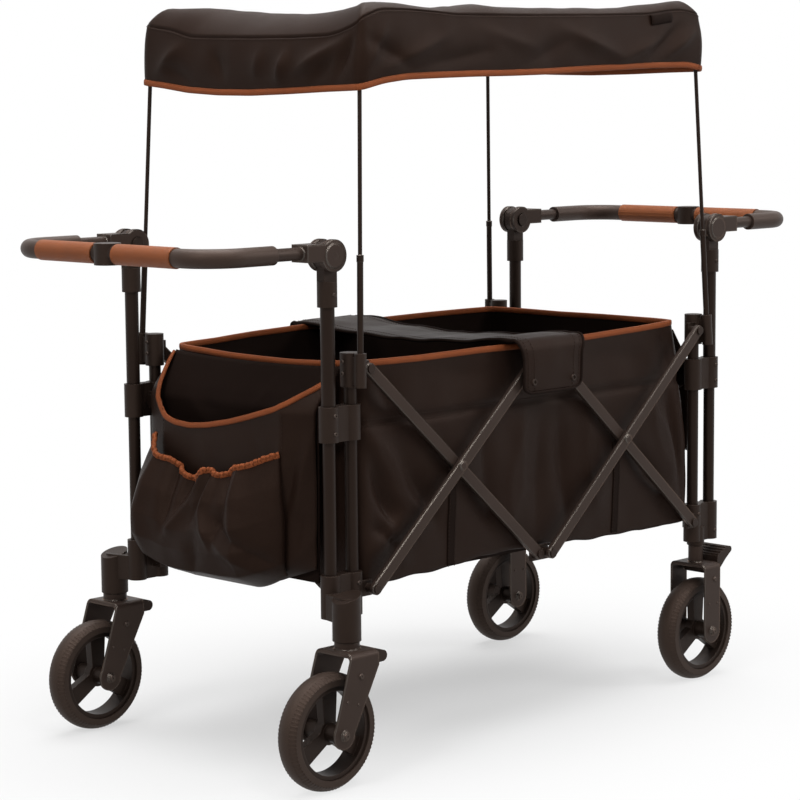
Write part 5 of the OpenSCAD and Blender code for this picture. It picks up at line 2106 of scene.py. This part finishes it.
@dataclass
class Hardware:
    """Screws, rivets, tread blocks and grip stitches, one piece for each body."""

    shop: Workshop
    face_y: float = 0.2399
    face_marks: tuple[Triple, ...] = (
        (0.455, 0.520, 0.0036), (0.455, 0.547, 0.0036), (0.455, 0.258, 0.0036), (0.410, 0.292, 0.0036),
        (0.455, 0.726, 0.0034))
    bracket_xy: Pair = (0.4255, 0.225)
    bracket_marks: tuple[Pair, ...] = ((0.606, 0.0034), (0.624, 0.0034))
    caster_y: float = 0.270
    wheel_y: float = 0.225
    caster_marks: tuple[tuple[float, float, float, float], ...] = (
        (-0.474, 0.171, 0.0046, 0.038), (-0.502, 0.137, 0.0022, 0.038), (-0.480, 0.130, 0.0022, 0.038),
        (-0.509, 0.0885, 0.0056, 0.042))
    wheel_marks: tuple[tuple[float, float, float, float], ...] = (
        (0.426, 0.179, 0.0046, 0.038), (0.411, 0.137, 0.0022, 0.038), (0.434, 0.136, 0.0022, 0.038),
        (0.420, 0.0885, 0.0056, 0.042))
    tread_count: int = 84
    tread_r: float = 0.0826
    tread_out: float = 0.0148
    tread_lean: float = 0.665
    tread_block: Triple = (0.0030, 0.0112, 0.0013)
    grip_x: float = 0.682
    grip_z: float = 0.788
    grip_r: float = 0.0157
    grip_y: Pair = (0.027, 0.152)
    grip_angle: float = 0.16

    def screws(self) -> list[tuple[Piece, str]]:
        """Screw heads on collars, feet, sleeves and brackets, and rivets on the forks.

        Returns:
            Pairs of piece and body.
        """
        found = []
        for end in End:
            name, s = end.name.lower(), end.value
            spots = [((s * x, side * self.face_y, z), (0, side, 0), size)
                     for side in (-1, 1) for x, z, size in self.face_marks]
            x, y = self.bracket_xy
            high = [((s * x, side * y, z), (s, 0, 0), size)
                    for side in (-1, 1) for z, size in self.bracket_marks]
            for part, body, places in (("frame", "frame", spots), ("bracket", "upright", high)):
                piece = self.shop.fasten(f"{name}_{part}_screws", places, Finishes.SCREW, Heads.SCREW)
                found.append((piece, f"{name}_{body}"))
            found += self.rivets(end)
        return found

    def rivets(self, end: End) -> list[tuple[Piece, str]]:
        """Rivets and axle caps on both cheeks of the forks of an end.

        Args:
            end: the end.

        Returns:
            Pairs of piece and body.
        """
        casters = end is End.FRONT
        middle, marks = (self.caster_y, self.caster_marks) if casters else (self.wheel_y, self.wheel_marks)
        found = []
        for side, word in SIDES:
            spots = [((x, side * middle + face * out, z), (0, face, 0), size)
                     for x, z, size, out in marks for face in (-1, 1)]
            name = f"{end.name.lower()}_{word}_fork_rivets"
            piece = self.shop.fasten(name, spots, Finishes.SCREW, Heads.RIVET)
            found.append((piece, f"front_{word}_caster" if casters else "rear_frame"))
        return found

    def tread(self) -> list[tuple[Piece, str]]:
        """Tread blocks on both shoulders of each tyre.

        Returns:
            Pairs of piece and body.
        """
        found = []
        for end in End:
            for _, word in SIDES:
                name = f"{end.name.lower()}_{word}"
                low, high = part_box(f"{name}_tyre")
                piece = self.shop.treads.run(
                    bpy.data.meshes.new(name), f"{name}_tread", Finishes.RUBBER, Count=self.tread_count,
                    Radius=self.tread_r, Offset=self.tread_out, Lean=self.tread_lean,
                    Block=self.tread_block, Centre=tuple((low + high) / 2))
                found.append((piece, f"{name}_wheel"))
        return found

    def grip_seams(self) -> list[tuple[Piece, str]]:
        """Waxed stitches along the inner side of the leather grips.

        Returns:
            Pairs of piece and body.
        """
        found = []
        for end in End:
            lines = []
            for side in (-1, 1):
                y = side * np.linspace(*self.grip_y, 40)
                for angle in (-self.grip_angle, self.grip_angle):
                    x = end.value * (self.grip_x - self.grip_r * math.cos(angle))
                    z = self.grip_z + self.grip_r * math.sin(angle)
                    lines.append(np.stack([np.full(len(y), x), y, np.full(len(y), z)], 1))
            name = end.name.lower()
            piece = self.shop.sew(f"{name}_grip_stitches", lines, Finishes.WAXED, Stitches.GRIP)
            found.append((piece, f"{name}_handle"))
        return found


@dataclass(frozen=True)
class Lamp:
    """A square soft lamp: name, place, height that it aims at over the origin, side and power in watts."""

    name: str
    place: Triple
    aim: float
    size: float
    power: float

    def build(self) -> None:
        """Makes the lamp."""
        data = bpy.data.lights.new(self.name, "AREA")
        data.size, data.energy = self.size, self.power
        turn = (Vector((0, 0, self.aim)) - Vector(self.place)).to_track_quat("-Z", "Y")
        placed(self.name, data).matrix_world = Matrix.Translation(self.place) @ turn.to_matrix().to_4x4()


@dataclass
class Studio:
    """Camera at the photograph's place, soft lamps, pale floor and white surround."""

    place: Triple = (-2.992, -2.883, 1.024)
    azimuth: float = 45.31
    pitch: float = 7.06
    roll: float = -0.49
    lens: float = 113.2
    sensor: float = 36.0
    clip_end: float = 60
    ambient: float = 0.15
    floor_half: float = 9.0
    floor_grey: float = 0.45
    # Painted shadow on the floor: its middle, its half size, its fade, and the least glow at its middle.
    shadow_middle: Pair = (-0.05, 0.1)
    shadow_half: Pair = (0.85, 0.6)
    shadow_fade: Pair = (0.3, 1.4)
    least_white: float = 0.53
    lamps: tuple[Lamp, ...] = (
        Lamp("key", (-3.5, -0.9, 3.3), 0.5, 1.2, 88), Lamp("fill", (3.0, -3.2, 2.8), 0.5, 1.5, 85),
        Lamp("near", (-1.1, -2.9, 3.6), 0.5, 1.2, 62), Lamp("top", (0.2, 0.3, 4.2), 0.4, 3.6, 340))

    def camera(self) -> None:
        """Makes the camera."""
        a, p, r = (math.radians(v) for v in (self.azimuth, self.pitch, self.roll))
        look = Vector((math.sin(a) * math.cos(p), math.cos(a) * math.cos(p), -math.sin(p)))
        right = Vector((math.cos(a), -math.sin(a), 0))
        up = right.cross(look)
        tilted = right * math.cos(r) + up * math.sin(r)
        upright = up * math.cos(r) - right * math.sin(r)
        data = bpy.data.cameras.new("photo camera")
        data.lens, data.sensor_width, data.sensor_fit = self.lens, self.sensor, "HORIZONTAL"
        data.clip_end = self.clip_end
        camera = placed("photo camera", data)
        turn = Matrix((tilted, upright, -look)).transposed().to_4x4()
        camera.matrix_world = Matrix.Translation(self.place) @ turn
        bpy.context.scene.camera = camera

    def surround(self) -> None:
        """White for what the camera and reflections see, a plain level for light."""
        world = bpy.data.worlds.new("white surround")
        bpy.context.scene.world = world
        world.use_nodes = True
        tree = world.node_tree
        tree.nodes.clear()
        path = tree.nodes.new("ShaderNodeLightPath")
        seen = path.outputs["Is Camera Ray"]
        for kind in ("Is Glossy Ray", "Is Transmission Ray"):
            either = tree.nodes.new("ShaderNodeMath")
            either.operation = "MAXIMUM"
            tree.links.new(seen, either.inputs[0])
            tree.links.new(path.outputs[kind], either.inputs[1])
            seen = either.outputs[0]
        level = tree.nodes.new("ShaderNodeMapRange")
        level.inputs["To Min"].default_value, level.inputs["To Max"].default_value = self.ambient, 1.0
        tree.links.new(seen, level.inputs["Value"])
        back = tree.nodes.new("ShaderNodeBackground")
        back.inputs["Color"].default_value = (1, 1, 1, 1)
        tree.links.new(level.outputs[0], back.inputs["Strength"])
        out = tree.nodes.new("ShaderNodeOutputWorld")
        tree.links.new(back.outputs[0], out.inputs["Surface"])

    def floor(self) -> None:
        """Pale floor: real shadow, plus painted shadow of weaker glow near the wagon that fades to white."""
        shader = Shader("pale floor")
        co = shader.coords()
        x, y = ((shader.axis(co, name) - middle) / half
                for name, middle, half in zip("XY", self.shadow_middle, self.shadow_half))
        far = co.math("SQRT", x ** 2 + y ** 2)
        # Painted shadow: the glow is weakest near the wagon and reaches full white further out.
        white = self.least_white + shader.ramp(far, *self.shadow_fade) * (1 - self.least_white)
        matt = shader.node("ShaderNodeBsdfDiffuse", None, {"Color": (self.floor_grey,) * 3})
        glow = shader.node("ShaderNodeEmission", None, {"Color": (1, 1, 1), "Strength": 1.0})
        shader.close(shader.node("ShaderNodeMixShader", None, {0: white, 1: matt, 2: glow}))
        mesh = bpy.data.meshes.new("floor")
        plan = np.array(((-1, -1), (1, -1), (1, 1), (-1, 1))) * self.floor_half
        mesh.from_pydata(raised(plan, 0).tolist(), [], [(0, 1, 2, 3)])
        mesh.materials.append(shader.material)
        placed("floor", mesh)

    def build(self) -> None:
        """Sets up the lamps, the surround and the floor."""
        bpy.context.scene.view_settings.view_transform = "Standard"
        for lamp in self.lamps:
            lamp.build()
        self.surround()
        self.floor()


def fold_away(pieces: Sequence[Piece]) -> None:
    """Gives each piece a mesh of its own.

    Args:
        pieces: the cloth and what is sewn to it.
    """
    for piece in pieces:
        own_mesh(piece)


def main() -> None:
    """Builds every sub-assembly in order and reports each piece."""
    logging.basicConfig(level=logging.INFO, format="%(name)s: %(message)s")
    studio = Studio()
    studio.camera()
    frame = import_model()
    nodes = frame["nodes"]
    Frame(nodes).paint()
    shop = Workshop()

    canopy = Canopy(shop)
    roof = canopy.build()
    dress_cloth(roof, "canopy_top", "canopy")
    fold_away(roof)

    basket = Basket(shop)
    soft = basket.build()
    dress_cloth(soft, "front_upright", "basket")
    mat = dress(basket.mat(nodes["floor_mat"]), "front_upright", Slot.CLOTH, "floor_mat")
    fold_away([*soft, mat])

    cover = CentreCover(shop)
    band = cover.build()
    dress_cloth(band, "top_mid", "centre_cover")
    fold_away(band)

    pockets = FrontPockets(shop)
    dress(pockets.panel(), "front_upright", Slot.CLOTH, "front_pocket")
    bag, trim = pockets.pouch()
    dress_cloth([bag, *pockets.pocket(), trim, pockets.stitches()], "front_upright", "front_pouch")
    dress_cloth(RearPocket().build(), "rear_upright", "rear_pocket")

    hardware = Hardware(shop)
    for pairs, slot in ((hardware.screws(), Slot.PAINT), (hardware.tread(), Slot.RUBBER),
                        (hardware.grip_seams(), Slot.LEATHER)):
        for piece, body in pairs:
            dress(piece, body, slot)

    studio.build()


if __name__ == "__main__":
    main()
